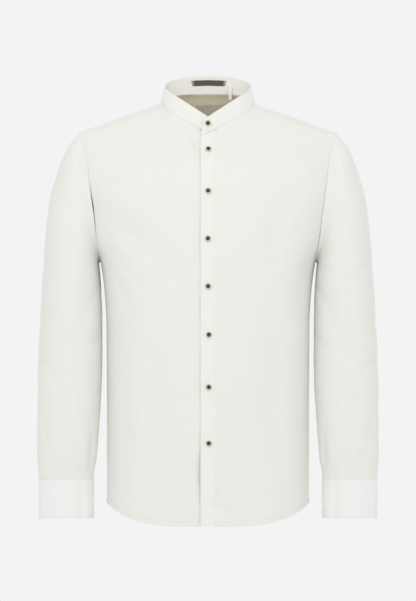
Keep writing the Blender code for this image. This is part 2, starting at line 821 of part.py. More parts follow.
def build_button(name, seat, normal, turn):
    """A dished button whose back stands on a seat point, facing along the normal."""
    sideways = unit(np.cross(np.array([0.0, 0.0, 1.0]), normal))
    upward = np.cross(normal, sideways)
    base = seat + normal * BUTTON_SEAT
    profile = button_profile()
    points = [base]
    for radius, height in profile:
        for i in range(BUTTON_SIDES):
            a = 2.0 * math.pi * i / BUTTON_SIDES + math.radians(turn)
            points.append(base + normal * height
                          + radius * (sideways * math.cos(a) + upward * math.sin(a)))
    points.append(base + normal * profile[-1][1])
    faces = []
    for i in range(BUTTON_SIDES):
        j = (i + 1) % BUTTON_SIDES
        faces.append((0, 1 + j, 1 + i))
        for ring in range(len(profile) - 1):
            a, b = 1 + ring * BUTTON_SIDES, 1 + (ring + 1) * BUTTON_SIDES
            faces.append((a + i, a + j, b + j, b + i))
        last = 1 + (len(profile) - 1) * BUTTON_SIDES
        faces.append((last + i, last + j, len(points) - 1))
    turn_out(add_object(name, points, faces, HORN))


def build_buttons(cuff_join):
    row = COLLAR_BUTTON
    low, top = collar_span(neckline_point(row.x))
    normal = unit(np.cross(np.array([1.0, 0.0, 0.0]), top - low))
    normal = normal if normal[1] < 0 else -normal
    share = (row.z - low[2]) / (top[2] - low[2])
    build_button("button_1", mix(low, top, share) + normal * PLACKET_PROUD, normal, row.turn)
    for number, row in enumerate(FRONT_BUTTONS, start=2):
        point, normal = body_point(row.x, row.z, -1.0)
        build_button(f"button_{number}", point + normal * PLACKET_PROUD, normal, row.turn)
    for name, mirror in (("cuff_button_left", 1.0), ("cuff_button_right", -1.0)):
        flip = np.array([mirror, 1.0, 1.0])
        point, normal = cuff_point(cuff_join - 0.5 * CUFF_LAP / CUFF_MEAN_RADIUS,
                                   mix(CUFF_TOP_Z, CUFF_BOTTOM_Z, 0.5))
        build_button(name, point * flip, normal * flip, 0.0)


# ------------------------------------------------------------------------------ labels
# Shares run up the collar's height, and down the yoke from the neck to its back seam.
TAPE_SPAN = (-29.0, 32.0)
TAPE_SHARES = (0.46, 0.76)
NECK_LABEL_SPAN = (-20.0, 31.0)
NECK_LABEL_SHARES = (0.21, 0.58)
TAB_SPAN = (37.0, 43.5)
TAB_SHARE = 0.55
TAB_LOW_Z = 9.0
LABEL_WALL = 1.0
LABEL_LIFT = 0.4
LABEL_STEPS = 8


def inside_back(columns, x, share):
    """(point, normal) on the inner face of a wall, at the back of the neck."""
    rows = len(columns[0]) - 1
    row = min(int(share * rows), rows - 1)
    part = share * rows - row
    line = [[mix(points[row][k], points[row + 1][k], part) for k in (0, 1)]
            for points in columns if points[0][0][1] > 0.0]
    for (here, normal), (there, other) in zip(line, line[1:]):
        if (here[0] - x) * (there[0] - x) <= 0.0:
            along = (x - here[0]) / (there[0] - here[0])
            outward = unit(mix(normal, other, along))
            return mix(here, there, along) - outward * WALL, outward
    raise ValueError(f"no cloth at x = {x}")


def label_grid(columns, span, shares, steps, rows):
    return [[inside_back(columns, mix(*span, i / steps), mix(*shares, r / rows))
             for i in range(steps + 1)] for r in range(rows + 1)]


def build_labels(collar, yoke):
    tape = label_grid(collar, TAPE_SPAN, TAPE_SHARES, LABEL_STEPS, 1)
    wall_from_surface("label_tape", tape, TAPE, lift=-LABEL_LIFT, wall=LABEL_WALL)
    label = label_grid(yoke, NECK_LABEL_SPAN, NECK_LABEL_SHARES, LABEL_STEPS, 4)
    wall_from_surface("label_neck", label, LABEL, lift=-LABEL_LIFT, wall=LABEL_WALL)

    seen = [inside_back(collar, x, share)[0] for x in TAB_SPAN for share in (0.0, TAB_SHARE)]
    hang_y = min(point[1] for point in seen) - LABEL_LIFT
    top_z = seen[-1][2]
    tab = [[(np.array([x, hang_y, mix(top_z, TAB_LOW_Z, r / 3.0)]), np.array([0.0, 1.0, 0.0]))
            for x in TAB_SPAN] for r in range(4)]
    wall_from_surface("size_tab", tab, LINEN, wall=LABEL_WALL)


# -------------------------------------------------------------------------------- shirt
def clear_scene():
    for thing in list(bpy.data.objects):
        bpy.data.objects.remove(thing, do_unlink=True)


def build_shirt():
    clear_scene()
    front_left, front_right = build_fronts()
    back = build_back()
    yoke_columns, whole_yoke = build_yoke()
    collar = build_collar(front_left, front_right, yoke_columns)
    loop = armhole_loop(front_left, back, yoke_columns)
    cuff_join = 0.0
    for side, mirror in (("left", 1.0), ("right", -1.0)):
        build_sleeve(f"sleeve_{side}", loop, mirror)
        cuff_join = build_cuff(f"cuff_{side}", mirror)
    build_buttons(cuff_join)
    build_labels(collar, whole_yoke)


build_shirt()
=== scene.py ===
"""Looks of the mandarin-collar shirt: linen shells, creases, topstitching, buttons, labels.

The CAD solids are the frame. Each cloth piece here is a thin shell on the same body,
collar, sleeve or cuff surface, in millimetres, and goes to metres when its mesh is made.
"""

import logging
import math
from dataclasses import dataclass, field
from enum import Enum
from typing import Callable, Sequence

import bmesh
import bpy
import numpy as np
from mathutils import Matrix, Vector, noise


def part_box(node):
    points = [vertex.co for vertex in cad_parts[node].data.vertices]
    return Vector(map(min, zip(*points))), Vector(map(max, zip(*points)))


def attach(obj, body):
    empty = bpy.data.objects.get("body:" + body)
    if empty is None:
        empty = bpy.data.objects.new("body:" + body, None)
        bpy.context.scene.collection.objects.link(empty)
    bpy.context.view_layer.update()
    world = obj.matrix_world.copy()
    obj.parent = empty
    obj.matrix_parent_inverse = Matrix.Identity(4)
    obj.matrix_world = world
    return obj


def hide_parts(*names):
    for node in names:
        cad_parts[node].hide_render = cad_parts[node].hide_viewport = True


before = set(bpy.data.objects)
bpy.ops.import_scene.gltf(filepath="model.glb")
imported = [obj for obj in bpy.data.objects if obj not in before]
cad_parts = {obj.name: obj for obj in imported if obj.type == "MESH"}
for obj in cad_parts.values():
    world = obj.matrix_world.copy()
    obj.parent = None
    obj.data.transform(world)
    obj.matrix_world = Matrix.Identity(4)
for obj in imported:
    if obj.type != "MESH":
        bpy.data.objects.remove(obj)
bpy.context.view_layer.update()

LOG = logging.getLogger("shirt")
MM = 0.001
TURN = 2.0 * math.pi
Array = np.ndarray


class Side(Enum):
    """Which face of the body a point lies on; the value is the sign of its depth."""

    FRONT = -1.0
    BACK = 1.0


class Hand(Enum):
    """The wearer's hand; the value is the sign of X."""

    LEFT = 1.0
    RIGHT = -1.0

    def turned(self, points: "Array") -> "Array":
        """Points or directions of the left hand, put on this hand."""
        return points * np.array([self.value, 1.0, 1.0])


class Way(Enum):
    """Which way a buttonhole runs."""

    FLAT = "flat"
    UPRIGHT = "upright"


# ---------------------------------------------------------------------------- small maths
def mix(a: Array | float, b: Array | float, t: Array | float) -> Array | float:
    """Blend a into b by t."""
    return a + (b - a) * t


def ease(x: Array | float, low: float, high: float) -> Array:
    """Smooth step from 0 at low to 1 at high."""
    t = np.clip((np.asarray(x, float) - low) / (high - low), 0.0, 1.0)
    return t * t * (3.0 - 2.0 * t)


def bell(x: Array | float, width: float) -> Array:
    """Soft bump, 1 at 0, that dies out over about two widths."""
    return np.exp(-((np.asarray(x, float) / width) ** 2))


def unit(v: Array) -> Array:
    """Vectors scaled to length 1 along their last axis."""
    return v / np.maximum(np.linalg.norm(v, axis=-1, keepdims=True), 1e-9)


def stack(x: Array, y: Array, z: Array) -> Array:
    """Points from their three coordinates, broadcast together."""
    return np.stack(np.broadcast_arrays(x, y, z), axis=-1).astype(float)


class Curve:
    """Smooth curve through a few knots that never overshoots its values."""

    def __init__(self, knots: Sequence[float], values: Sequence[float]) -> None:
        """Args:
            knots: where the values are given, in any order.
            values: the curve's value at each knot.
        """
        order = np.argsort(knots)
        self.x = np.asarray(knots, float)[order]
        self.y = np.asarray(values, float)[order]
        self.step = np.diff(self.x)
        slope = np.diff(self.y) / self.step
        self.tangent = np.concatenate(([slope[0]], np.zeros(len(slope) - 1), [slope[-1]]))
        for i in range(1, len(slope)):
            before, after = slope[i - 1], slope[i]
            if before * after > 0.0:
                self.tangent[i] = 2.0 * before * after / (before + after)

    def __call__(self, x: Array | float) -> Array:
        """Value at x, held constant past the ends."""
        x = np.clip(np.asarray(x, float), self.x[0], self.x[-1])
        i = np.clip(np.searchsorted(self.x, x, side="right") - 1, 0, len(self.step) - 1)
        t = (x - self.x[i]) / self.step[i]
        rise = t * t * (3.0 - 2.0 * t)
        bend = t * (1.0 - t) * ((1.0 - t) * self.tangent[i] - t * self.tangent[i + 1])
        return (1.0 - rise) * self.y[i] + rise * self.y[i + 1] + self.step[i] * bend


def table(rows: Sequence[Sequence[float]], key: int, value: int) -> Curve:
    """Curve from two columns of a short table."""
    return Curve([row[key] for row in rows], [row[value] for row in rows])


def spaced(length: float, fine: Sequence[float], coarse: float, both: bool = True) -> Array:
    """Shares from 0 to 1 along a length: fine steps near the ends, coarse between.

    Args:
        length: the real length, in millimetres.
        fine: distances from an end where a row of points is wanted.
        coarse: spacing in the middle.
        both: False if only the start is fine.

    Returns:
        The shares, rising, with 0 and 1.
    """
    head = [d for d in fine if d < 0.45 * length]
    start = head[-1] if head else 0.0
    stop = length - start if both else length
    count = max(int(round((stop - start) / coarse)), 2)
    middle = list(np.linspace(start, stop, count + 1))
    tail = [length - d for d in reversed(head[:-1])] if both else []
    return np.unique(np.array([0.0] + head[:-1] + middle + tail + [length])) / length


# distances from a hem's fold where a row of points is wanted, and where the hem is sewn
HEM_STEPS = (0.0, 0.5, 1.1, 1.7, 2.3, 3.1, 5.0, 6.2, 6.9, 7.3, 7.7, 8.2, 9.4)
HEM_SEWN = 6.2
HEM_EDGE = 7.7
THREAD_LIFT = 0.1
GROOVE_WIDTH = 0.9
SIDE_LAP = 0.2


def hem_lift(rise: Array) -> Array:
    """Outward lift of the turned hem at a height above its fold, with a dip past its edge."""
    return 0.9 * (1.0 - ease(rise, HEM_EDGE - 1.0, HEM_EDGE)) - 0.35 * bell(rise - HEM_EDGE, 0.6)


def sewn_groove(distance: Array, depth: float) -> Array:
    """How far a row of stitches pulls the cloth in, by distance from the row."""
    return depth * bell(distance, GROOVE_WIDTH)


# ------------------------------------------------------------------------------- creases
@dataclass(frozen=True)
class Crease:
    """A soft trough (depth above 0) or ridge (below 0) from one end to the other.

    The plane is that of the surface it lies on: x and z on the body, distance round
    and z on a sleeve. bow swings its middle sideways, and sharp narrows its bottom.
    """

    x0: float
    z0: float
    x1: float
    z1: float
    width: float
    depth: float
    bow: float = 0.0
    sharp: float = 2.0

    def sink(self, x: Array, z: Array) -> Array:
        """How far the cloth goes inwards at each point.

        Args:
            x: places across, or round a sleeve.
            z: heights.

        Returns:
            Depths in millimetres.
        """
        run_x, run_z = self.x1 - self.x0, self.z1 - self.z0
        length = math.hypot(run_x, run_z)
        along = ((x - self.x0) * run_x + (z - self.z0) * run_z) / length**2
        side = ((x - self.x0) * run_z - (z - self.z0) * run_x) / length
        side = side - self.bow * 4.0 * along * (1.0 - along)
        past = np.maximum(np.maximum(-along, along - 1.0), 0.0) * length
        inside = np.clip(along, 0.0, 1.0)
        body = 0.35 + 0.65 * np.sin(math.pi * inside)
        grow = 0.75 + 0.5 * inside
        shape = np.exp(-((np.abs(side) / (self.width * grow)) ** self.sharp))
        return self.depth * body * shape * np.exp(-((past / (1.6 * self.width)) ** 2))


def total_sink(creases: Sequence[Crease], x: Array, z: Array) -> Array:
    """Sum of the creases at each point."""
    total = np.zeros(np.broadcast(x, z).shape)
    for crease in creases:
        total = total + crease.sink(x, z)
    return total


def rumple(points: Array, scale: float, seed: float) -> Array:
    """Even, soft unevenness between about -1 and 1, from the points' places.

    Args:
        points: places in millimetres, any shape with 3 last.
        scale: size of one bump, in millimetres.
        seed: offset that picks another stretch of the same noise.

    Returns:
        One value a point.
    """
    flat = points.reshape(-1, 3) / scale
    shift = Vector((seed, 1.7 * seed, -0.6 * seed))
    values = [noise.noise(Vector(p) + shift) for p in flat.tolist()]
    return np.array(values).reshape(points.shape[:-1])


def rumples(points: Array, rows: Sequence[tuple[float, float, float]]) -> Array:
    """Sum of rumples, one for each row of height, size and seed."""
    return sum(height * rumple(points, scale, seed) for height, scale, seed in rows)


# ---------------------------------------------------------------------------- body surface
@dataclass(frozen=True)
class BodyForm:
    """The surface that fronts, back, yoke and placket are cut from."""

    neck_half: float = 85.5
    roll: float = 150.0
    power: float = 2.5
    back_neck_z: float = 20.0
    yoke_front_drop: float = 8.0
    yoke_back_z: float = -96.0
    armpit_z: float = -285.0
    front_arm_top: float = -60.0
    hem_front: float = -760.0
    hem_back: float = -757.0
    hem_rise: float = 40.0
    hem_half: float = 183.3
    # z, half width, front depth, back depth
    sections: tuple = (
        (20.0, 262.0, 58.0, 112.0), (0.0, 262.0, 60.0, 98.0), (-30.0, 262.0, 66.0, 94.0),
        (-56.0, 262.0, 68.0, 96.0), (-100.0, 245.0, 88.0, 103.0),
        (-150.0, 233.0, 108.0, 109.0), (-210.0, 218.5, 117.0, 110.0),
        (-257.0, 206.0, 119.0, 108.5), (-285.0, 195.0, 120.0, 107.0),
        (-346.0, 187.0, 119.0, 105.0), (-400.0, 184.0, 118.0, 103.0),
        (-600.0, 183.3, 116.0, 106.0), (-760.0, 183.3, 118.0, 108.0),
    )
    # x, z of the shoulder ridge
    ridge_rows: tuple = ((0.0, 36.0), (30.0, 33.5), (59.0, 25.0), (85.5, 2.0),
                         (112.0, -8.0), (160.0, -25.0), (234.0, -51.5))
    # z, x of the armhole seam
    armhole_rows: tuple = ((-50.0, 232.0), (-66.0, 227.5), (-94.0, 220.5), (-131.0, 215.5),
                           (-162.0, 211.0), (-212.0, 204.5), (-257.0, 200.0), (-285.0, 195.0))
    # x, z of the front neckline
    neck_rows: tuple = ((0.0, -57.0), (15.0, -47.0), (46.0, -29.5), (72.0, -13.5), (85.5, 0.5))
    # height, size, seed of the cloth's unevenness
    uneven: tuple = ((0.55, 46.0, 3.1), (0.28, 19.0, 8.4))
    calm_depth: tuple = (2.0, 40.0)
    calm_drop: tuple = (4.0, 60.0)
    calm_least: float = 0.25
    roll_share: float = 0.4
    probe: float = 0.05
    front_creases: tuple = ()
    back_creases: tuple = ()

    def __post_init__(self) -> None:
        """Build the curves from the short tables."""
        keep = object.__setattr__
        keep(self, "half_width", table(self.sections, 0, 1))
        keep(self, "front_depth", table(self.sections, 0, 2))
        keep(self, "back_depth", table(self.sections, 0, 3))
        keep(self, "ridge_curve", table(self.ridge_rows, 0, 1))
        keep(self, "armhole", table(self.armhole_rows, 0, 1))
        keep(self, "neckline", table(self.neck_rows, 0, 1))

    def ridge(self, x: Array | float) -> Array:
        """Height of the shoulder ridge."""
        return self.ridge_curve(np.abs(x))

    def depth(self, z: Array, side: Array | float) -> Array:
        """Half depth of the body at a height, for each side."""
        return np.where(np.asarray(side) < 0.0, self.front_depth(z), self.back_depth(z))

    def plan(self, x: Array, z: Array) -> Array:
        """1 at the middle of the body, 0 at its side."""
        share = np.clip(np.abs(x) / self.half_width(z), 0.0, 1.0)
        return (1.0 - share**self.power) ** (1.0 / self.power)

    def normal(self, p: Array, side: Array) -> Array:
        """Outward normals of the uncreased surface."""
        slope = np.zeros_like(p)
        share = np.clip((self.ridge(p[..., 0]) - p[..., 2]) / self.roll, 0.0, 1.0)
        for axis in range(3):
            step = np.zeros(3)
            step[axis] = self.probe
            ahead, behind = p + step, p - step
            slope[..., axis] = np.where(
                share > self.roll_share,
                self.low_level(ahead, side) - self.low_level(behind, side),
                self.high_level(ahead, side) - self.high_level(behind, side))
        return unit(slope)

    def low_level(self, p: Array, side: Array) -> Array:
        """A value that grows outwards through the surface, used below the shoulder roll."""
        depth = np.abs(p[..., 1]) / self.depth(p[..., 2], side)
        width = np.abs(p[..., 0]) / self.half_width(p[..., 2])
        share = np.clip((self.ridge(p[..., 0]) - p[..., 2]) / self.roll, 0.02, 1.0)
        top = np.sqrt(1.0 - (1.0 - share) ** 2)
        return width**self.power + (depth / top) ** self.power - 1.0

    def high_level(self, p: Array, side: Array) -> Array:
        """A value that grows outwards through the surface, used on the shoulder roll."""
        depth = np.abs(p[..., 1]) / self.depth(p[..., 2], side)
        width = np.abs(p[..., 0]) / self.half_width(p[..., 2])
        share = (self.ridge(p[..., 0]) - p[..., 2]) / self.roll
        plan = (1.0 - np.minimum(width, 0.999) ** self.power) ** (1.0 / self.power)
        return (depth / plan) ** 2 + (1.0 - share) ** 2 - 1.0

    def surface(self, x: Array, z: Array, side: Array | float) -> tuple[Array, Array]:
        """Points and normals of the body at x and z, before any crease."""
        share = np.clip((self.ridge(x) - z) / self.roll, 0.0, 1.0)
        top = np.sqrt(1.0 - (1.0 - share) ** 2)
        y = side * self.depth(z, side) * self.plan(x, z) * top
        points = stack(x, y, z)
        return points, self.normal(points, np.broadcast_to(side, points.shape[:-1]))

    def creased(self, points: Array, normals: Array, side: Array | float) -> Array:
        """Push points in by the creases and rumple them a little.

        Args:
            points: places on the smooth surface.
            normals: its outward directions.
            side: the sign of each point's depth.

        Returns:
            The moved points.
        """
        x, z = points[..., 0], points[..., 2]
        front = total_sink(self.front_creases, x, z)
        back = total_sink(self.back_creases, x, z)
        sink = np.where(np.asarray(side) < 0.0, front, back)
        lively = ease(np.abs(points[..., 1]), *self.calm_depth)
        lively = lively * ease(self.ridge(x) - z, *self.calm_drop)
        share = self.calm_least + (1.0 - self.calm_least) * lively
        return points + normals * ((rumples(points, self.uneven) - sink) * share)[..., None]

    def edge(self, z: Array | float) -> Array:
        """Half width of the panels: armhole above the armpit, side seam below."""
        return np.where(np.asarray(z) > self.armpit_z, self.armhole(z), self.half_width(z))

    def shoulder_point(self, half_seam: float) -> float:
        """Height where the front yoke seam meets the armhole."""
        z = self.front_arm_top
        for _ in range(20):
            z = float(self.front_top(float(self.edge(z)))) - half_seam
        return z

    def hem(self, x: Array | float, middle: float) -> Array:
        """Height of the curved hem."""
        return middle + self.hem_rise * (np.abs(x) / self.hem_half) ** 4

    def front_top(self, x: Array | float) -> Array:
        """Top of the front: the neckline, then the front yoke seam."""
        seam = self.ridge(x) - self.yoke_front_drop
        inside = np.minimum(self.neckline(np.abs(x)), seam)
        return np.where(np.abs(x) >= self.neck_half, seam, inside)

    def neck_corner(self) -> float:
        """Where the neckline meets the front yoke seam."""
        xs = np.linspace(60.0, self.neck_half, 2000)
        gap = self.neckline(xs) - (self.ridge(xs) - self.yoke_front_drop)
        return float(xs[np.argmax(gap > 0.0)])

    def roll_angle(self, x: Array | float, z: Array | float) -> Array:
        """Angle round the shoulder roll of a point: 0 on the ridge."""
        share = np.clip((self.ridge(x) - z) / self.roll, 0.0, 1.0)
        return np.arccos(1.0 - share)

    def rolled(self, x: Array, angle: Array) -> tuple[Array, Array, Array]:
        """Places on the shoulder roll.

        Args:
            x: places across the shoulders.
            angle: turn round the roll, negative in front.

        Returns:
            Points, normals and sides.
        """
        side = np.where(angle < 0.0, Side.FRONT.value, Side.BACK.value)
        z = self.ridge(x) - self.roll * (1.0 - np.cos(angle))
        y = side * self.depth(z, side) * self.plan(x, z) * np.abs(np.sin(angle))
        points = stack(x, y, z)
        normals = self.normal(points, side)
        slope = (self.ridge(x + 1.0) - self.ridge(x - 1.0)) / 2.0
        upright = unit(stack(-slope, np.zeros_like(slope), np.ones_like(slope)))
        flat = 1.0 - ease(np.abs(angle), 0.01, 0.12)
        return points, unit(mix(normals, upright, flat[..., None])), side


# --------------------------------------------------------------------------- mesh building
@dataclass
class Shell:
    """A grid of points on a surface, ready to become one cloth mesh."""

    name: str
    points: Array
    flat_u: Array
    flat_v: Array
    closed: bool = False

    @classmethod
    def on_grid(cls, name: str, points: Array, closed: bool = False) -> "Shell":
        """Shell whose flat coordinates are measured along the grid's own rows and columns.

        Args:
            name: the piece's name.
            points: rows by columns by 3, in millimetres.
            closed: True if the last column meets the first.

        Returns:
            The shell.
        """
        across = np.linalg.norm(np.diff(points, axis=1), axis=-1)
        flat_u = np.concatenate([np.zeros((len(points), 1)), np.cumsum(across, axis=1)], axis=1)
        flat_u = flat_u - flat_u.mean(axis=1, keepdims=True)
        down = np.linalg.norm(np.diff(points, axis=0), axis=-1).mean(axis=1)
        rise = np.concatenate([[0.0], np.cumsum(down)])
        flat_v = np.repeat(rise[:, None], points.shape[1], axis=1)
        return cls(name, points, flat_u, flat_v, closed)

    def build(self, thick: float, outward: Callable[[Vector], Vector]) -> bpy.types.Object:
        """Make the mesh.

        Args:
            thick: wall in millimetres, put on inwards by a Solidify modifier.
            outward: gives, for a point in metres, a direction that points out of the cloth.

        Returns:
            The object, at the origin, in metres.
        """
        rows, columns = self.points.shape[:2]
        bm = bmesh.new()
        uv = bm.loops.layers.uv.new("cloth")
        bmesh.ops.create_grid(bm, x_segments=columns - 1, y_segments=rows - 1, size=0.5)
        bm.verts.ensure_lookup_table()
        places = [(vert.co.y, vert.co.x, vert) for vert in bm.verts]
        places.sort(key=lambda item: (round(item[0], 6), round(item[1], 6)))
        flat = {}
        for index, (_, _, vert) in enumerate(places):
            r, c = divmod(index, columns)
            vert.co = Vector(self.points[r, c]) * MM
            flat[vert] = (self.flat_u[r, c] * MM, self.flat_v[r, c] * MM)
        for face in bm.faces:
            for loop in face.loops:
                loop[uv].uv = flat[loop.vert]
        if self.closed:
            bmesh.ops.remove_doubles(bm, verts=bm.verts, dist=1e-6)
        bm.normal_update()
        votes = sum(1 if face.normal.dot(outward(face.calc_center_median())) > 0 else -1
                    for face in bm.faces)
        if votes < 0:
            bmesh.ops.reverse_faces(bm, faces=bm.faces)
        made = new_object(f"{self.name}_cloth", bm)
        if thick > 0.0:
            wall = made.modifiers.new("wall", "SOLIDIFY")
            wall.thickness = thick * MM
            wall.offset = -1.0
            wall.use_rim = True
        return made


def new_object(name: str, bm: bmesh.types.BMesh) -> bpy.types.Object:
    """Turn a bmesh into a smooth-shaded object at the origin."""
    mesh = bpy.data.meshes.new(name)
    bm.to_mesh(mesh)
    bm.free()
    mesh.shade_smooth()
    made = bpy.data.objects.new(name, mesh)
    bpy.context.scene.collection.objects.link(made)
    return made


def round_edges(piece: bpy.types.Object, width: float) -> None:
    """Round the rims of a walled piece."""
    bevel = piece.modifiers.new("rounded", "BEVEL")
    bevel.width = width * MM
    bevel.segments = 2
    bevel.profile = 0.5
    bevel.limit_method = "ANGLE"
    bevel.angle_limit = math.radians(60.0)


# -------------------------------------------------------------------------------- finishes
def colour_of(red: float, green: float, blue: float) -> tuple[float, float, float, float]:
    """Linear colour from three screen values of 0 to 255."""
    def linear(value: float) -> float:
        """Linear share of one screen value."""
        share = value / 255.0
        return share / 12.92 if share <= 0.04045 else ((share + 0.055) / 1.055) ** 2.4
    return (linear(red), linear(green), linear(blue), 1.0)


class Nodes:
    """Short way to add and join shader nodes in one material."""

    bump_distance = 0.0002

    def __init__(self, name: str) -> None:
        """Start an empty material with its output and Principled shader."""
        self.material = bpy.data.materials.new(name)
        self.material.use_nodes = True
        self.tree = self.material.node_tree
        self.tree.nodes.clear()
        self.output = self.add("ShaderNodeOutputMaterial")
        self.shader = self.add("ShaderNodeBsdfPrincipled")
        self.join(self.shader, "BSDF", self.output, "Surface")

    def add(self, kind: str, **values: object) -> bpy.types.Node:
        """Add a node; values set its own properties."""
        node = self.tree.nodes.new(kind)
        for key, value in values.items():
            setattr(node, key, value)
        return node

    def join(self, source: bpy.types.Node, out: str | int,
             target: bpy.types.Node, into: str | int) -> None:
        """Link an output to an input."""
        self.tree.links.new(source.outputs[out], target.inputs[into])

    def maths(self, operation: str, source: bpy.types.Node, out: str | int = 0,
              value: float | None = None) -> bpy.types.Node:
        """Math node on an output, with an optional second number."""
        node = self.add("ShaderNodeMath", operation=operation)
        self.join(source, out, node, 0)
        if value is not None:
            node.inputs[1].default_value = value
        return node

    def noise(self, source: bpy.types.Node, out: str | int, scale: float,
              detail: float = 2.0) -> bpy.types.Node:
        """Noise texture over a place."""
        node = self.add("ShaderNodeTexNoise")
        node.inputs["Scale"].default_value = scale
        node.inputs["Detail"].default_value = detail
        self.join(source, out, node, "Vector")
        return node

    def bump(self, height: bpy.types.Node, strength: float) -> None:
        """Raise the shader's surface by a height value."""
        node = self.add("ShaderNodeBump")
        node.inputs["Strength"].default_value = strength
        node.inputs["Distance"].default_value = self.bump_distance
        self.join(height, 0, node, "Height")
        self.join(node, "Normal", self.shader, "Normal")

    def tone(self, source: bpy.types.Node, out: str | int,
             stops: Sequence[tuple[float, tuple]]) -> None:
        """Give the shader its colour by a ramp over a value.

        Args:
            source: node that gives the value.
            out: its output.
            stops: place and colour of each stop.
        """
        node = self.add("ShaderNodeValToRGB")
        elements = node.color_ramp.elements
        while len(elements) < len(stops):
            elements.new(0.5)
        for element, (place, colour) in zip(elements, stops):
            element.position = place
            element.color = colour
        self.join(source, out, node, "Fac")
        self.join(node, "Color", self.shader, "Base Color")

    def finish(self, **values: float) -> bpy.types.Material:
        """Set the shader's own sockets, named with _ for a space, and give the material."""
        for key, value in values.items():
            self.shader.inputs[key.replace("_", " ")].default_value = value
        return self.material


def shaded(colour: Sequence[float], factor: float) -> tuple[float, float, float, float]:
    """A colour made darker or lighter by a factor, never past white."""
    return tuple(min(c * factor, 1.0) for c in colour[:3]) + (1.0,)


@dataclass(frozen=True)
class Linen:
    """Plain-weave linen: threads of uneven thickness, slubs and a soft matt face."""

    name: str
    colour: tuple
    threads_per_metre: float = 2100.0
    weave_depth: float = 0.22
    thread_height: float = 0.4
    slub_stretch: tuple = (9.0, 900.0)
    shade_spread: float = 0.02
    roughness: float = 0.86

    def build(self) -> bpy.types.Material:
        """Returns: the material, whose weave follows the piece's own flat coordinates."""
        made = Nodes(self.name)
        uv = made.add("ShaderNodeUVMap", uv_map="cloth")
        split = made.add("ShaderNodeSeparateXYZ")
        made.join(uv, "UV", split, "Vector")
        threads, slubs = [], []
        for axis, stretch in (("X", self.slub_stretch), ("Y", self.slub_stretch[::-1])):
            along = made.add("ShaderNodeMapping")
            along.inputs["Scale"].default_value = (*stretch, 1.0)
            made.join(uv, "UV", along, "Vector")
            slubs.append(made.noise(along, "Vector", 1.0, 3.0))
            wave = made.maths("MULTIPLY", split, axis, self.threads_per_metre * math.pi)
            wave = made.maths("ABSOLUTE", made.maths("SINE", wave))
            threads.append(made.maths("MULTIPLY_ADD", wave, 0, self.thread_height))
            made.join(slubs[-1], "Fac", threads[-1], 2)
        height = made.maths("ADD", threads[0])
        made.join(threads[1], 0, height, 1)
        made.bump(height, self.weave_depth)
        total = made.maths("ADD", slubs[0], "Fac")
        made.join(slubs[1], "Fac", total, 1)
        dark = shaded(self.colour, 1.0 - self.shade_spread)
        light = shaded(self.colour, 1.0 + 0.6 * self.shade_spread)
        made.tone(made.maths("MULTIPLY", total, 0, 0.5), 0, ((0.36, dark), (0.64, light)))
        return made.finish(Roughness=self.roughness, Sheen_Weight=0.12, Sheen_Roughness=0.5,
                           Specular_IOR_Level=0.25)


@dataclass(frozen=True)
class Thread:
    """Sewing thread: one plain colour with a faint twist."""

    name: str
    colour: tuple
    twist: float = 2600.0
    roughness: float = 0.6

    def build(self) -> bpy.types.Material:
        """Returns: the material."""
        made = Nodes(self.name)
        twist = made.noise(made.add("ShaderNodeTexCoord"), "Object", self.twist)
        made.tone(twist, "Fac", ((0.35, shaded(self.colour, 0.88)), (0.65, self.colour)))
        return made.finish(Roughness=self.roughness, Specular_IOR_Level=0.3)


@dataclass(frozen=True)
class Horn:
    """Horn-look button: a near-black dished middle in a streaked tan rim."""

    name: str = "horn_button"
    radius: float = 5.7
    cloud: float = 420.0
    cloud_share: float = 0.28
    # share of the radius, colour
    stops: tuple = ((0.0, colour_of(22, 16, 10)), (0.68, colour_of(22, 16, 10)),
                    (0.76, colour_of(64, 48, 28)), (0.84, colour_of(176, 160, 122)),
                    (1.0, colour_of(208, 200, 170)))

    def build(self) -> bpy.types.Material:
        """Returns: the material, coloured by distance from the UV's middle, which the button sets
        off its own middle as painted shade.
        """
        made = Nodes(self.name)
        uv = made.add("ShaderNodeUVMap", uv_map="cloth")
        cloud = made.noise(made.add("ShaderNodeTexCoord"), "Object", self.cloud, 4.0)
        length = made.add("ShaderNodeVectorMath", operation="LENGTH")
        made.join(uv, "UV", length, 0)
        share = made.maths("MULTIPLY", length, "Value", 1.0 / (self.radius * MM))
        uneven = made.maths("MULTIPLY_ADD", cloud, "Fac", self.cloud_share)
        made.join(share, 0, uneven, 2)
        made.tone(uneven, 0, self.stops)
        return made.finish(Roughness=0.32, IOR=1.55, Coat_Weight=0.25, Coat_Roughness=0.2)


@dataclass(frozen=True)
class WovenTape:
    """Fine ribbed tape for the labels, bare of any lettering."""

    name: str
    colour: tuple
    ribs_per_metre: float = 2600.0
    rib_depth: float = 0.3
    grain: float = 700.0
    spread: float = 0.12

    def build(self) -> bpy.types.Material:
        """Returns: the material."""
        made = Nodes(self.name)
        uv = made.add("ShaderNodeUVMap", uv_map="cloth")
        split = made.add("ShaderNodeSeparateXYZ")
        made.join(uv, "UV", split, "Vector")
        turn = made.maths("MULTIPLY", split, "Y", self.ribs_per_metre * math.pi)
        made.bump(made.maths("SINE", turn), self.rib_depth)
        grain = made.noise(uv, "UV", self.grain)
        made.tone(grain, "Fac", ((0.3, shaded(self.colour, 1.0 - self.spread)), (0.7, self.colour)))
        return made.finish(Roughness=0.7, Sheen_Weight=0.15)


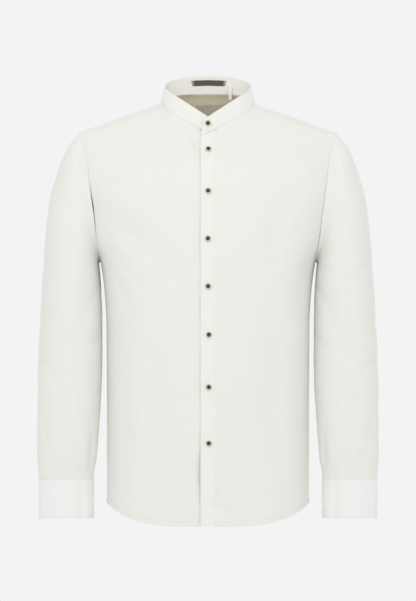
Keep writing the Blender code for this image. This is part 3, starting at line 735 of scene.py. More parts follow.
@dataclass(frozen=True)
class Plain:
    """Pale floor that shows one even tone."""

    name: str
    colour: tuple

    def build(self) -> bpy.types.Material:
        """Returns: the material."""
        material = bpy.data.materials.new(self.name)
        material.use_nodes = True
        tree = material.node_tree
        tree.nodes.clear()
        output = tree.nodes.new("ShaderNodeOutputMaterial")
        glow = tree.nodes.new("ShaderNodeEmission")
        glow.inputs["Color"].default_value = self.colour
        tree.links.new(glow.outputs["Emission"], output.inputs["Surface"])
        return material


# ------------------------------------------------------------------------------- stitching
@dataclass
class Topstitch:
    """Rows of short stitches, gathered into one mesh."""

    name: str = "topstitching"
    stitch: float = 2.6
    gap: float = 0.7
    width: float = 0.34
    flatness: float = 0.7
    proud: float = 0.04
    batch: int = 40
    runs: list = field(default_factory=list)
    bars: list = field(default_factory=list)

    def follow(self, points: Array, normals: Array) -> None:
        """Add a row along a line on the cloth, given in millimetres."""
        self.runs.append((np.asarray(points, float), np.asarray(normals, float)))

    def build(self) -> bpy.types.Object:
        """Returns: one object of all the stitches, each a small rounded bar."""
        bars = list(self.bars)
        for points, normals in self.runs:
            steps = np.linalg.norm(np.diff(points, axis=0), axis=1)
            along = np.concatenate([[0.0], np.cumsum(steps)])
            count = int(along[-1] // (self.stitch + self.gap))
            for i in range(count):
                start = i * (self.stitch + self.gap) + 0.5 * self.gap
                ends = [self.at(points, along, start + d) for d in (0.0, self.stitch)]
                bars.append((*ends, self.at(normals, along, start + 0.5 * self.stitch)))
        whole = bmesh.new()
        for first in range(0, len(bars), self.batch):
            part = bmesh.new()
            for start, stop, normal in bars[first:first + self.batch]:
                self.bar(part, start, stop, normal)
            spare = bpy.data.meshes.new("batch")
            part.to_mesh(spare)
            part.free()
            whole.from_mesh(spare)
            bpy.data.meshes.remove(spare)
        return new_object(self.name, whole)

    @staticmethod
    def at(values: Array, along: Array, place: float) -> Array:
        """Value of a line at a distance from its start."""
        return np.array([np.interp(place, along, values[:, k]) for k in range(3)])

    def bar(self, bm: bmesh.types.BMesh, start: Array, stop: Array, normal: Array) -> None:
        """Add one stitch, lowest at its two ends.

        Args:
            bm: mesh that takes it.
            start: one end, in millimetres.
            stop: the other end.
            normal: direction out of the cloth.
        """
        run = stop - start
        length = float(np.linalg.norm(run))
        ahead = Vector(run / length)
        up = Vector(unit(normal))
        across = up.cross(ahead).normalized()
        up = ahead.cross(across)
        turned = Matrix((across, ahead, up)).transposed().to_4x4()
        made = bmesh.ops.create_uvsphere(bm, u_segments=6, v_segments=4, radius=0.5)
        size = Matrix.Diagonal((self.width * MM, length * MM, self.flatness * self.width * MM, 1.0))
        spot = Vector(0.5 * (start + stop)) * MM + up * self.proud * MM
        place = Matrix.Translation(spot) @ turned @ size @ Matrix.Rotation(math.pi / 2, 4, "X")
        bmesh.ops.transform(bm, matrix=place, verts=made["verts"])


# ---------------------------------------------------------------------------- the pieces
@dataclass
class Panel:
    """What every cloth piece shares: how its shell is made and dressed."""

    body: BodyForm

    def dress(self, piece: bpy.types.Object, node: str, slot: str,
              material: bpy.types.Material) -> None:
        """Give a piece its material, hang it under the root body and hide the CAD node that it
        stands for.
        """
        piece.data.materials.append(material)
        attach(piece, "root")
        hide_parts(node)

    def sew_hem(self, shell: Shell, rise: Array, stitches: Topstitch) -> None:
        """Stitch along a hem, given how high each row of its shell is above the fold."""
        line = shell.points[int(np.argmin(np.abs(rise - HEM_SEWN)))]
        normals = unit(stack(line[:, 0], line[:, 1], 0.0))
        stitches.follow(line + THREAD_LIFT * normals, normals)


def away_from(middle: Sequence[float]) -> Callable[[Vector], Vector]:
    """Direction from a point given in millimetres, for turning faces outwards."""
    centre = Vector(middle) * MM
    return lambda place: place - centre


def away_from_axis(x: float, y: float) -> Callable[[Vector], Vector]:
    """Direction from an upright axis given in millimetres."""
    def out(place: Vector) -> Vector:
        """Level direction from the axis to a place."""
        return Vector((place.x - x * MM, place.y - y * MM, 0.0))
    return out


@dataclass
class Fronts(Panel):
    """The two fronts and the placket strip between them."""

    height: float = 700.0
    row_step: float = 5.0
    wall: float = 0.8
    seam: float = 0.04
    low_level: float = -720.0
    shoulder_columns: int = 46
    neck_steps: tuple = (0.0, 1.6, 2.1, 2.6, 3.2, 4.2)
    edge_dip: float = 0.25
    dip_width: float = 1.3
    placket_half: float = 13.5
    placket_proud: float = 1.0
    placket_wall: float = 1.5
    placket_drop: float = 0.403
    placket_steps: tuple = (0.0, 0.4, 0.9, 1.5, 2.1, 2.6, 3.1, 3.8)
    row_in: float = 2.6
    tuck: float = 1.5
    tuck_ramp: tuple = (11.7, 13.1)
    underlap: float = 12.0
    ramp: tuple = (17.5, 30.0)
    sink: float = 1.1
    # where the lower placket stands off the front beneath it
    gape_z: float = -668.0
    gape_reach: float = 36.0
    gape: float = 2.2

    def rows(self) -> Array:
        """Shares of the panel's height, close together at the hem and the top."""
        return spaced(self.height, HEM_STEPS, self.row_step)

    def heights(self, x_low: Array, x_top: Array, share: Array) -> Array:
        """Height of a row between the hem and the top boundary of a column."""
        top = self.body.front_top(x_top) - 0.5 * self.seam
        return mix(self.body.hem(x_low, self.body.hem_front), top, share)

    def front(self, hand: Hand) -> Shell:
        """Returns: one front, from its centre edge to the armhole and the side seam."""
        body = self.body
        inner = self.placket_half - 2.0 if hand is Hand.LEFT else -self.underlap
        top_level = body.shoulder_point(0.5 * self.seam)
        corner_x = body.neck_corner()
        top_x = float(body.edge(top_level))
        low_x = float(body.edge(self.low_level))
        corner = (corner_x - inner) / (top_x - inner)
        neck = corner * spaced(corner_x - inner, self.neck_steps, 3.0, False)
        turn = 0.5 * math.pi * np.linspace(0.0, 1.0, self.shoulder_columns)
        parts = np.concatenate([neck[:-1], corner + (1.0 - corner) * np.sin(turn)])[None, :]
        share = self.rows()[:, None]
        level = mix(self.low_level, top_level, share)
        x = mix(inner, body.edge(level), parts)
        z = self.heights(mix(inner, low_x, parts), mix(inner, top_x, parts), share)
        points, normals = body.surface(x * hand.value, z, Side.FRONT.value)
        points = body.creased(points, normals, Side.FRONT.value)
        dip = self.edge_dip * bell((1.0 - parts) * (top_x - inner), self.dip_width)
        rise = hem_lift(share * self.height) - dip - self.covered(hand, x, z)
        points = points + normals * rise[..., None]
        below = (level <= body.armpit_z) & (parts > 0.9999)
        points[..., 1] = np.where(below, points[..., 1] - SIDE_LAP, points[..., 1])
        return Shell.on_grid(f"front_{hand.name.lower()}", points)

    def covered(self, hand: Hand, x: Array, z: Array) -> Array:
        """How deep a front lies where the placket covers it, at a distance x across."""
        if hand is Hand.LEFT:
            return self.tuck * (1.0 - ease(x, *self.tuck_ramp))
        low = bell(z - self.gape_z, 60.0)
        shade = 1.3 * bell(x - self.placket_half + 0.3, 1.8) * (0.35 + 0.65 * low)
        under = self.sink * (1.0 - ease(x, *self.ramp))
        return under + self.gape * self.gaping(z) * bell(x - self.underlap, 9.0) + shade

    def gaping(self, z: Array) -> Array:
        """Share of the gape at a height, 1 where it is widest."""
        return bell(z - self.gape_z, self.gape_reach)

    def placket_top(self, x: Array) -> Array:
        """Slanting top of the placket, in line with the collar's lower edge."""
        start = float(self.body.neckline(self.placket_half))
        return start + self.placket_drop * (x - self.placket_half) - 0.3

    def placket_points(self, x: Array, share: Array, lift: float) -> tuple[Array, Array]:
        """Places on the placket.

        Args:
            x: places across it.
            share: shares of its height.
            lift: height above the front, in millimetres.

        Returns:
            Points and normals.
        """
        z = mix(self.body.hem(x, self.body.hem_front), self.placket_top(x), share)
        half = self.placket_half
        points, normals = self.body.surface(x, z, Side.FRONT.value)
        points = self.body.creased(points, normals, Side.FRONT.value)
        loose = (1.7 * self.gaping(z) + 0.2) * ease(-x, 2.0, half)
        wave = 0.35 * np.sin(z / 21.0 + 0.6 * np.sin(z / 57.0)) * ease(-x, 4.0, half)
        edge_dip = self.edge_dip * bell(x + half, 1.0)
        sewn = sewn_groove(np.abs(x) - (half - self.row_in), 0.22)
        merged = 0.8 * ease(x, 7.0, half)
        rise = lift + loose + wave - edge_dip - sewn - merged
        return points + normals * rise[..., None], normals

    def placket(self) -> Shell:
        """Returns: the placket strip, with its edges rolled and sewn."""
        half = self.placket_half
        x = (spaced(2.0 * half, self.placket_steps, 2.0) - 0.5) * 2.0 * half
        points, _ = self.placket_points(x[None, :], self.rows()[:, None], self.placket_proud)
        return Shell.on_grid("placket", points)

    def build(self, linen: bpy.types.Material, band: bpy.types.Material,
              stitches: Topstitch) -> list:
        """Make the fronts and the placket.

        Args:
            linen: finish of the fronts.
            band: finish of the placket.
            stitches: takes the rows of topstitching.

        Returns:
            The three pieces.
        """
        out = away_from((0.0, 0.0, -400.0))
        made = []
        for hand in Hand:
            shell = self.front(hand)
            piece = shell.build(self.wall, out)
            self.dress(piece, shell.name, "linen", linen)
            made.append(piece)
            self.sew_hem(shell, self.rows() * self.height, stitches)
        strip = self.placket()
        piece = strip.build(self.placket_wall, out)
        round_edges(piece, 0.35)
        self.dress(piece, "placket", "linen_collar", band)
        made.append(piece)
        share = np.linspace(0.004, 0.996, 240)
        for x in (self.row_in - self.placket_half, self.placket_half - self.row_in):
            line, normals = self.placket_points(np.full_like(share, x), share,
                                                self.placket_proud + 0.05)
            stitches.follow(line, normals)
        return made

@dataclass
class Back(Panel):
    """The back below the yoke, with a box pleat's soft fullness."""

    height: float = 640.0
    row_step: float = 5.2
    wall: float = 0.8
    seam: float = 0.04
    low_level: float = -720.0
    columns: int = 150
    half_width: float = 190.0

    def rows(self) -> Array:
        """Shares of the panel's height, close together at the hem and the top."""
        return spaced(self.height, HEM_STEPS, self.row_step)

    def shell(self) -> Shell:
        """Returns: the back, from the hem to the yoke seam."""
        body = self.body
        share = self.rows()[:, None]
        top = body.yoke_back_z - 0.5 * self.seam
        side_hem = body.hem_back + body.hem_rise
        level = mix(self.low_level, body.yoke_back_z, share)
        parts = np.sin(math.pi * (np.linspace(0.0, 1.0, self.columns) - 0.5))[None, :]
        x = parts * body.edge(level)
        low = body.hem(parts * float(body.edge(self.low_level)), body.hem_back)
        z = mix(low, top, share)
        z = z + (np.minimum(level, top) - mix(side_hem, top, share)) * np.abs(parts) ** 6
        points, normals = body.surface(x, z, Side.BACK.value)
        points = body.creased(points, normals, Side.BACK.value)
        rise = share * self.height
        side_dip = 0.25 * bell((1.0 - np.abs(parts)) * self.half_width, 1.3)
        dip = side_dip + 0.3 * bell(self.height - rise, 1.5)
        points = points + normals * (hem_lift(rise) - dip)[..., None]
        below = (level <= body.armpit_z) & (np.abs(parts) > 0.9999)
        points[..., 1] = np.where(below, points[..., 1] + SIDE_LAP, points[..., 1])
        return Shell.on_grid("back", points)

    def build(self, linen: bpy.types.Material, stitches: Topstitch) -> bpy.types.Object:
        """Returns: the back, dressed, with its hem sewn."""
        shell = self.shell()
        piece = shell.build(self.wall, away_from((0.0, 0.0, -400.0)))
        self.dress(piece, "back", "linen", linen)
        self.sew_hem(shell, self.rows() * self.height, stitches)
        return piece


@dataclass
class Yoke(Panel):
    """The yoke over both shoulders, from the front seams to the back seam."""

    wall: float = 0.9
    length: float = 120.0
    shoulder: float = 140.0
    steps: tuple = (0.0, 0.7, 1.5, 2.4, 3.6)
    neck_columns: int = 50
    shoulder_columns: int = 34
    fan_x: float = 94.0
    neck_share: float = 6.0 / 7.0
    mid_shoulder: float = 150.0
    seam: float = 0.04

    def front_angle(self) -> float:
        """Roll angle of the front yoke seam."""
        z = self.body.ridge(self.mid_shoulder) - self.body.yoke_front_drop + 0.5 * self.seam
        return -float(self.body.roll_angle(self.mid_shoulder, z))

    def swing(self, share: Array) -> Array:
        """X of the column that starts at the neck corner."""
        return mix(self.body.neck_corner(), self.fan_x, np.sqrt(share))

    def half(self, share: Array, neck: Array, shoulder: Array) -> tuple[Array, Array]:
        """X and roll angle of one half.

        Args:
            share: column of shares from the neck and front seam to the back seam.
            neck: row of places from the middle back (0) to the neck corner (1).
            shoulder: row of places from the neck corner (0) to the armhole (1).

        Returns:
            x and angle, rows by columns.
        """
        body = self.body
        front = self.front_angle()
        end_z = body.yoke_back_z + 0.5 * self.seam
        middle = float(body.roll_angle(0.0, body.back_neck_z))
        turn = 0.5 * math.pi * np.minimum(neck / self.neck_share, 1.0)
        past = np.clip((neck - self.neck_share) / (1.0 - self.neck_share), 0.0, 1.0)
        top_x = mix(body.neck_half * np.sin(turn), body.neck_corner(), past)
        start = mix(middle * np.cos(turn), front, past)
        x_neck = mix(top_x, self.fan_x * neck, share ** (1.0 - 0.5 * past))
        a_neck = mix(start, body.roll_angle(x_neck, end_z), share)
        rim = np.full_like(share, float(body.edge(body.shoulder_point(0.0))))
        for _ in range(14):
            angle = mix(front, body.roll_angle(rim, end_z), share)
            rim = body.edge(body.ridge(rim) - body.roll * (1.0 - np.cos(angle)))
        part = np.sin(0.5 * math.pi * shoulder)
        x_arm = mix(self.swing(share), rim, part)
        a_arm = mix(front, body.roll_angle(x_arm, end_z), share)
        return (np.concatenate([x_neck, x_arm[:, 1:]], axis=1),
                np.concatenate([a_neck, a_arm[:, 1:]], axis=1))

    def points(self, share: Array, neck: Array, shoulder: Array) -> tuple[Array, Array]:
        """Points and normals of one half."""
        x, angle = self.half(share, neck, shoulder)
        points, normals, side = self.body.rolled(x, angle)
        return self.body.creased(points, normals, side), normals

    def shell(self) -> Shell:
        """Returns: the whole yoke."""
        share = spaced(self.length, self.steps, self.steps[-1])[:, None]
        neck = np.linspace(0.0, 1.0, self.neck_columns)[None, :]
        shoulder = np.linspace(0.0, 1.0, self.shoulder_columns)[None, :]
        points, normals = self.points(share, neck, shoulder)
        across = np.concatenate([np.zeros(self.neck_columns - 1),
                                 np.sin(0.5 * math.pi * shoulder[0])])
        dip = (0.2 * bell(share * self.length, 1.4) * ease(across, 0.0, 0.06)
               + 0.3 * bell((1.0 - share) * self.length, 1.5)
               + 0.25 * bell((1.0 - across) * self.shoulder, 1.3))
        points = points - normals * dip[..., None]
        other = Hand.RIGHT.turned(points[:, :0:-1])
        return Shell.on_grid("yoke", np.concatenate([other, points], axis=1))

    def neck_line(self, count: int) -> tuple[Array, Array]:
        """Neck edge of one half, from the neck corner to the middle back."""
        neck = np.linspace(1.0, 0.0, count)[None, :]
        x, angle = self.half(np.zeros((1, 1)), neck, np.zeros((1, 1)))
        points, normals, _ = self.body.rolled(x[:, :count], angle[:, :count])
        return points[0], normals[0]

    def rim(self, count: int) -> Array:
        """Armhole edge of the left half, from the front seam to the back seam."""
        share = np.linspace(0.0, 1.0, count)[:, None]
        points, _ = self.points(share, np.zeros((1, 1)), np.array([[0.0, 1.0]]))
        return points[:, -1]

    def build(self, linen: bpy.types.Material, inner: bpy.types.Material,
              stitches: Topstitch) -> bpy.types.Object:
        """Make the yoke.

        Args:
            linen: finish of its outer face.
            inner: finish of its inner face, a beige-tinted copy of the linen whose warm tone is
                painted shade inside the back neck.
            stitches: takes the rows of topstitching.

        Returns:
            The yoke.
        """
        shell = self.shell()
        piece = shell.build(self.wall, away_from((0.0, 0.0, -150.0)))
        self.dress(piece, "yoke", "linen", linen)
        # the inner face takes the beige copy: painted warm shade
        piece.data.materials.append(inner)
        piece.modifiers["wall"].material_offset = 1
        neck = np.linspace(0.02, 1.0, 40)[None, :]
        shoulder = np.linspace(0.0, 0.985, 40)[None, :]
        back, back_n = self.points(np.array([[0.975]]), neck, shoulder)
        fore, fore_n = self.points(np.array([[0.018]]), np.array([[1.0]]), shoulder)
        for hand in Hand:
            for line, normals in ((back[0], back_n[0]), (fore[0], fore_n[0])):
                stitches.follow(hand.turned(line + THREAD_LIFT * normals), hand.turned(normals))
        return piece


@dataclass
class Collar(Panel):
    """The band collar, whose left end laps over its right end at the front."""

    yoke: Yoke
    height: float = 33.0
    row_in: float = 2.6
    steps: tuple = (0.0, 0.4, 0.9, 1.6, 2.2, 2.7, 3.3)
    lap_stations: tuple = (118.0, 138.0)
    wall: float = 1.7
    proud: float = 1.1
    under: float = 1.3
    drop: float = 0.403
    placket_half: float = 13.5
    over_end: float = -12.6
    under_end: float = -5.0
    flatness: float = 1.25
    # turn, x, y, z of the upper edge
    top_rows: tuple = (
        (0.0, 0.0, -58.0, -24.0), (22.0, 20.0, -54.0, -11.0), (45.0, 42.0, -44.0, 3.5),
        (66.0, 60.0, -30.0, 15.5), (84.0, 73.0, -11.0, 25.0), (97.0, 78.5, 4.0, 33.0),
        (118.0, 74.5, 20.0, 40.5), (138.0, 57.0, 34.0, 48.0), (160.0, 30.0, 42.5, 53.0),
        (180.0, 0.0, 45.5, 54.5),
    )

    def top(self, turn: Array) -> Array:
        """Upper edge at a turn about the neck, run on straight past the front middle."""
        x, y, z = (table(self.top_rows, 0, k)(turn) for k in (1, 2, 3))
        past = np.minimum(turn, 0.0)
        return stack(x + past * 20.0 / 22.0, y, z + 0.6 * past * 20.0 / 22.0)

    def low_z(self, x: Array) -> Array:
        """Height of the front neckline, run on straight towards the lapped end."""
        edge = float(self.body.neckline(self.placket_half))
        return np.where(x >= self.placket_half, self.body.front_top(np.abs(x)),
                        edge + self.drop * (x - self.placket_half))

    def strand(self, end: float) -> tuple[Array, Array]:
        """Lower and upper edge of one half, from the middle back to its front end."""
        back, _ = self.yoke.neck_line(70)
        corner = self.body.neck_corner()
        x = np.linspace(corner, end, 46)[1:]
        front, _ = self.body.surface(x, self.low_z(x), Side.FRONT.value)
        low = np.concatenate([back[::-1], front])
        low = self.even(low, 150)
        turn = np.degrees(np.arctan2(low[:, 0], -low[:, 1] * self.flatness))
        top = self.top(turn)
        return low + unit(top - low) * 0.06, top

    @staticmethod
    def even(line: Array, count: int) -> Array:
        """The same line with points evenly spaced and its corners eased."""
        for _ in range(3):
            line[1:-1] = 0.25 * line[:-2] + 0.5 * line[1:-1] + 0.25 * line[2:]
        steps = np.linalg.norm(np.diff(line, axis=0), axis=1)
        along = np.concatenate([[0.0], np.cumsum(steps)])
        places = np.linspace(0.0, along[-1], count)
        return np.stack([np.interp(places, along, line[:, k]) for k in range(3)], axis=-1)

    def band(self, shares: Array) -> tuple[Array, Array]:
        """Points and normals of the whole band at some shares of its height.

        Args:
            shares: from 0 at the neck seam to 1 at the upper edge.

        Returns:
            Points and normals, shares by stations, from the under end to the over end.
        """
        low_l, top_l = self.strand(self.over_end)
        low_r, top_r = self.strand(self.under_end)
        low = np.concatenate([Hand.RIGHT.turned(low_r[:0:-1]), low_l])
        top = np.concatenate([Hand.RIGHT.turned(top_r[:0:-1]), top_l])
        grid = mix(low[None], top[None], shares[:, None, None])
        along = np.gradient(grid, axis=1)
        normals = unit(np.cross(along, (top - low)[None]))
        middle = np.array([0.0, 5.0, 0.0])
        outward = np.sum(normals * (grid - middle), axis=-1, keepdims=True)
        normals = np.where(outward < 0.0, -normals, normals)
        count = len(low_r) - 1
        station = np.arange(len(low))
        lap = ease(np.abs(station - count), *self.lap_stations)
        lift = np.where(station < count, -self.under, self.proud) * lap
        swell = 0.9 * np.sin(math.pi * shares)[:, None]
        wave = 0.35 * np.sin(station / 9.0)[None] * (0.3 + shares[:, None])
        sewn = sum(sewn_groove(edge * self.height - self.row_in, 0.2)
                   for edge in (shares, 1.0 - shares))
        rise = lift[None] + swell + wave - sewn[:, None]
        return grid + normals * rise[..., None], normals

    def build(self, band: bpy.types.Material, inside: bpy.types.Material,
              stitches: Topstitch) -> bpy.types.Object:
        """Make the collar.

        Args:
            band: finish of its outer face.
            inside: finish of its inner face, a lighter copy of the band linen that paints light
                onto the shaded inside of the band.
            stitches: takes its two rows of topstitching.

        Returns:
            The collar.
        """
        shares = spaced(self.height, self.steps, 2.2)
        points, _ = self.band(shares)
        piece = Shell.on_grid("collar", points).build(self.wall, away_from_axis(0.0, 5.0))
        round_edges(piece, 0.4)
        self.dress(piece, "collar", "linen_collar", band)
        # the inner face takes the lighter copy: painted light on the shaded inside of the band
        piece.data.materials.append(inside)
        piece.modifiers["wall"].material_offset = 1
        row = self.row_in / self.height
        for share in (row, 1.0 - row):
            line, normals = self.band(np.array([share]))
            line, normals = line[0, 3:-3], normals[0, 3:-3]
            stitches.follow(line + THREAD_LIFT * normals, normals)
        return piece


@dataclass
class Cuffs(Panel):
    """The cuffs: firm bands whose ends lap behind, each closed by one button."""

    wall: float = 1.8
    top_z: float = -677.0
    bottom_z: float = -748.0
    outer_x: float = 306.0
    inner_x: float = 206.5
    half_depth: float = 31.0
    forward: float = 31.5
    join: float = 1.36 * math.pi
    lap: float = 14.0 / 45.0
    under_sink: float = 2.2
    under_ramp: tuple = (0.07, 0.13)
    row_in: float = 2.4
    steps: tuple = (0.0, 0.5, 1.1, 1.8, 2.4, 2.9, 3.6, 5.0)
    round_steps: tuple = (0.0, 0.6, 1.4, 2.4, 3.6)
    girth: float = 270.0
    fold: float = 3.4
    fold_angle: float = 1.0

    def point(self, angle: Array, z: Array, lift: Array | float) -> tuple[Array, Array]:
        """Places on the left cuff.

        Args:
            angle: turn about the cuff, 0 innermost and a quarter turn in front.
            z: heights.
            lift: distance out of the surface.

        Returns:
            Points and normals.
        """
        half_x = 0.5 * (self.outer_x - self.inner_x)
        middle_x = 0.5 * (self.outer_x + self.inner_x)
        low = (self.top_z - z) / (self.top_z - self.bottom_z)
        flare = 1.0 + 0.012 * np.sin(math.pi * low)
        normal = unit(stack(-np.cos(angle) / half_x, -np.sin(angle) / self.half_depth,
                            0.0 * z))
        off_fold = np.mod(angle, TURN) - self.fold_angle + 0.08 * low
        dent = self.fold * bell(off_fold, 0.17) * (0.3 + 0.7 * low)
        soft = 0.5 * np.sin(3.0 * angle + 0.7) + 0.25 * np.sin(7.0 * angle + low * 2.0)
        spot = stack(middle_x - half_x * flare * np.cos(angle),
                     -self.forward - self.half_depth * flare * np.sin(angle), z)
        return spot + normal * (lift - dent + soft)[..., None], normal

    def build(self, linen: bpy.types.Material, stitches: Topstitch, hand: Hand) -> bpy.types.Object:
        """Make one cuff.

        Args:
            linen: its finish.
            stitches: takes the rows along its two edges.
            hand: which cuff.

        Returns:
            The cuff.
        """
        height = self.top_z - self.bottom_z
        down = spaced(height, self.steps, 4.0)
        around = spaced(self.girth, self.round_steps, 2.6)
        z = (self.top_z - down * height)[:, None]
        angle = mix(self.join - self.lap, self.join + TURN, around)[None, :]
        under = 1.0 - ease(around, *self.under_ramp)
        sewn = sum(sewn_groove(edge * height - self.row_in, 0.22) for edge in (down, 1.0 - down))
        lift = -self.under_sink * under[None] - sewn[:, None]
        points, _ = self.point(angle + 0.0 * z, z + 0.0 * angle, lift)
        shell = Shell.on_grid(f"cuff_{hand.name.lower()}", hand.turned(points))
        middle = 0.5 * (self.outer_x + self.inner_x) * hand.value
        piece = shell.build(self.wall, away_from_axis(middle, -self.forward))
        round_edges(piece, 0.4)
        self.dress(piece, shell.name, "linen_cuff", linen)
        turn = mix(self.join + 0.25, self.join + TURN - 0.05, np.linspace(0.0, 1.0, 150))
        for rise in (self.row_in, height - self.row_in):
            line, normals = self.point(turn, np.full_like(turn, self.top_z - rise),
                                       np.full_like(turn, -0.05))
            stitches.follow(hand.turned(line), hand.turned(normals))
        return piece

    def button_seat(self, hand: Hand) -> tuple[Array, Array]:
        """Where the cuff's button stands, and its direction."""
        spot = np.array([self.join - 0.5 * self.lap + TURN])
        z = np.array([0.5 * (self.top_z + self.bottom_z)])
        point, normal = self.point(spot, z, np.zeros(1))
        return hand.turned(point[0]), hand.turned(normal[0])


@dataclass
class Sleeves(Panel):
    """The two long sleeves, from the armhole to the cuff."""

    yoke: Yoke
    cuffs: Cuffs
    wall: float = 0.8
    columns: int = 128
    flatness: float = 60.0
    # outer_x, outer_z, inner_x, inner_z, half_depth, forward; the first lies on the armhole
    rings: tuple = (
        (231.5, -51.5, 195.0, -285.0, 58.0, 0.0), (244.0, -65.0, 197.0, -287.5, 61.0, 0.0),
        (257.5, -85.0, 197.0, -291.0, 65.0, 0.0), (274.0, -128.0, 196.5, -296.0, 68.0, 1.0),
        (286.0, -171.0, 195.5, -304.0, 70.0, 3.0), (292.5, -222.0, 194.5, -318.0, 69.0, 5.0),
        (298.0, -285.0, 193.0, -340.0, 66.0, 8.0), (302.5, -365.0, 191.5, -390.0, 61.0, 12.0),
        (306.5, -440.0, 191.0, -450.0, 55.0, 16.0), (308.0, -500.0, 192.0, -505.0, 50.0, 20.0),
        (308.0, -560.0, 195.5, -562.0, 45.0, 24.0), (308.0, -620.0, 199.5, -620.0, 40.0, 28.0),
        (307.5, -676.4, 204.5, -676.4, 34.0, 31.0),
    )
    creases: tuple = ()
    # places down the rings, close together at the armhole and at the cuff
    head_places: tuple = (0.0, 0.012, 0.03, 0.055, 0.09, 0.14, 0.2)
    middle_places: tuple = (0.27, 11.9, 150)
    last_places: tuple = (11.95, 11.98, 12.0)
    tuck_places: tuple = (11.35, 12.0)
    cuff_overlap: float = 0.3

    def ring(self, place: Array, angle: Array) -> Array:
        """Places on the smooth sleeve.

        Args:
            place: place down the rings, a whole number on each.
            angle: turn about the sleeve, 0 innermost and a quarter turn in front.

        Returns:
            Points.
        """
        index = np.arange(len(self.rings), dtype=float)
        ox, oz, ix, iz, depth, forward = (
            Curve(index, [ring[k] for ring in self.rings])(place) for k in range(6))
        inner = stack(ix, -forward, iz)
        outer = stack(ox, -forward, oz)
        across = 0.5 * (inner - outer)
        swing = stack(0.0 * depth, -depth, 0.0 * depth)
        return (0.5 * (inner + outer) + across * np.cos(angle)[..., None]
                + swing * np.sin(angle)[..., None])

    def cuff_rim(self, angle: Array) -> Array:
        """Line round the top of the cuff that the sleeve is gathered to."""
        points, _ = self.cuffs.point(angle, 0.0 * angle + self.cuffs.top_z,
                                     0.0 * angle - self.cuff_overlap)
        return points - np.array([0.0, 0.0, self.cuff_overlap])

    def loop(self) -> tuple[Array, Array]:
        """Armhole points from the armpit round the front, the top and the back."""
        body = self.body
        z = np.linspace(body.armpit_z, body.shoulder_point(0.0), 90)
        front, front_n = body.surface(body.armhole(z), z, Side.FRONT.value)
        front = body.creased(front, front_n, Side.FRONT.value)
        top = self.yoke.rim(60)
        z = np.linspace(body.yoke_back_z, body.armpit_z, 80)
        back, back_n = body.surface(body.armhole(z), z, Side.BACK.value)
        back = body.creased(back, back_n, Side.BACK.value)
        line = np.concatenate([front, top[1:-1], back[:-1]])
        line[0, 1] = 0.0
        steps = np.linalg.norm(np.diff(np.concatenate([line, line[:1]]), axis=0), axis=1)
        along = np.concatenate([[0.0], np.cumsum(steps)])
        places = np.linspace(0.0, along[-1], self.columns + 1)[:-1]
        closed = np.concatenate([line, line[:1]])
        line = np.stack([np.interp(places, along, closed[:, k]) for k in range(3)], axis=-1)
        low, high = line[0], line[int(np.argmax(line[:, 2]))]
        middle, half = 0.5 * (high + low), 0.5 * (low - high)
        away = line - middle
        up = away @ half / float(half @ half)
        angle = np.arctan2(-away[:, 1] / self.flatness, up) % TURN
        return line, np.unwrap(angle)

    def shell(self, hand: Hand) -> Shell:
        """Returns: one sleeve, from the armhole seam to the top of the cuff."""
        loop, start = self.loop()
        even = TURN * np.arange(self.columns) / self.columns
        place = np.concatenate([self.head_places, np.linspace(*self.middle_places),
                                self.last_places])[:, None]
        angle = mix(start[None], even[None], ease(place - 1.0, -0.5, 7.0))
        points = self.ring(np.broadcast_to(place, angle.shape), angle)
        offset = loop[None] - self.ring(np.zeros((1, self.columns)), start[None])
        points = points + offset * (1.0 - ease(place, 0.0, 1.5))[..., None]
        around = np.roll(points, -1, axis=1) - np.roll(points, 1, axis=1)
        normals = unit(np.cross(around, np.gradient(points, axis=0)))
        middle = points.mean(axis=1, keepdims=True)
        outward = np.sum(normals * (points - middle), axis=-1, keepdims=True)
        normals = np.where(outward < 0.0, -normals, normals)
        degrees = np.degrees(even)[None] + 0.0 * place
        calm = ease(place, 0.05, 0.7) * (1.0 - 0.6 * ease(place, 11.5, 12.0))
        seed = 4.4 if hand is Hand.LEFT else 11.9
        soft = rumples(points, ((0.7, 40.0, seed), (0.35, 17.0, seed + 3.0)))
        sink = sum((crease.sink(degrees + turn, points[..., 2])
                    for crease in self.creases for turn in (-360.0, 0.0, 360.0)),
                   np.zeros_like(degrees))
        seam = 0.2 * bell(place, 0.03)
        points = points + normals * ((soft - sink) * calm - seam)[..., None]
        points[0] = points[0] + unit(points[1] - points[0]) * 0.05
        tuck = ease(place, *self.tuck_places)
        rim = self.cuff_rim(angle)
        points[..., :2] = mix(points[..., :2], rim[..., :2], tuck[..., None])
        points[-1, :, 2] = rim[-1, :, 2]
        closed = hand.turned(np.concatenate([points, points[:, :1]], axis=1))
        return Shell.on_grid(f"sleeve_{hand.name.lower()}", closed, closed=True)

    def build(self, linen: bpy.types.Material, hand: Hand) -> bpy.types.Object:
        """Make one sleeve.

        Args:
            linen: its finish.
            hand: which sleeve.

        Returns:
            The sleeve.
        """
        shell = self.shell(hand)
        centres = shell.points.mean(axis=1) * MM
        order = np.argsort(centres[:, 2])

        def out(place: Vector) -> Vector:
            """Level direction from the sleeve's own middle line to a place."""
            spot = [np.interp(place.z, centres[order, 2], centres[order, k]) for k in range(3)]
            return Vector((place.x - spot[0], place.y - spot[1], 0.0))

        piece = shell.build(self.wall, out)
        self.dress(piece, shell.name, "linen", linen)
        return piece


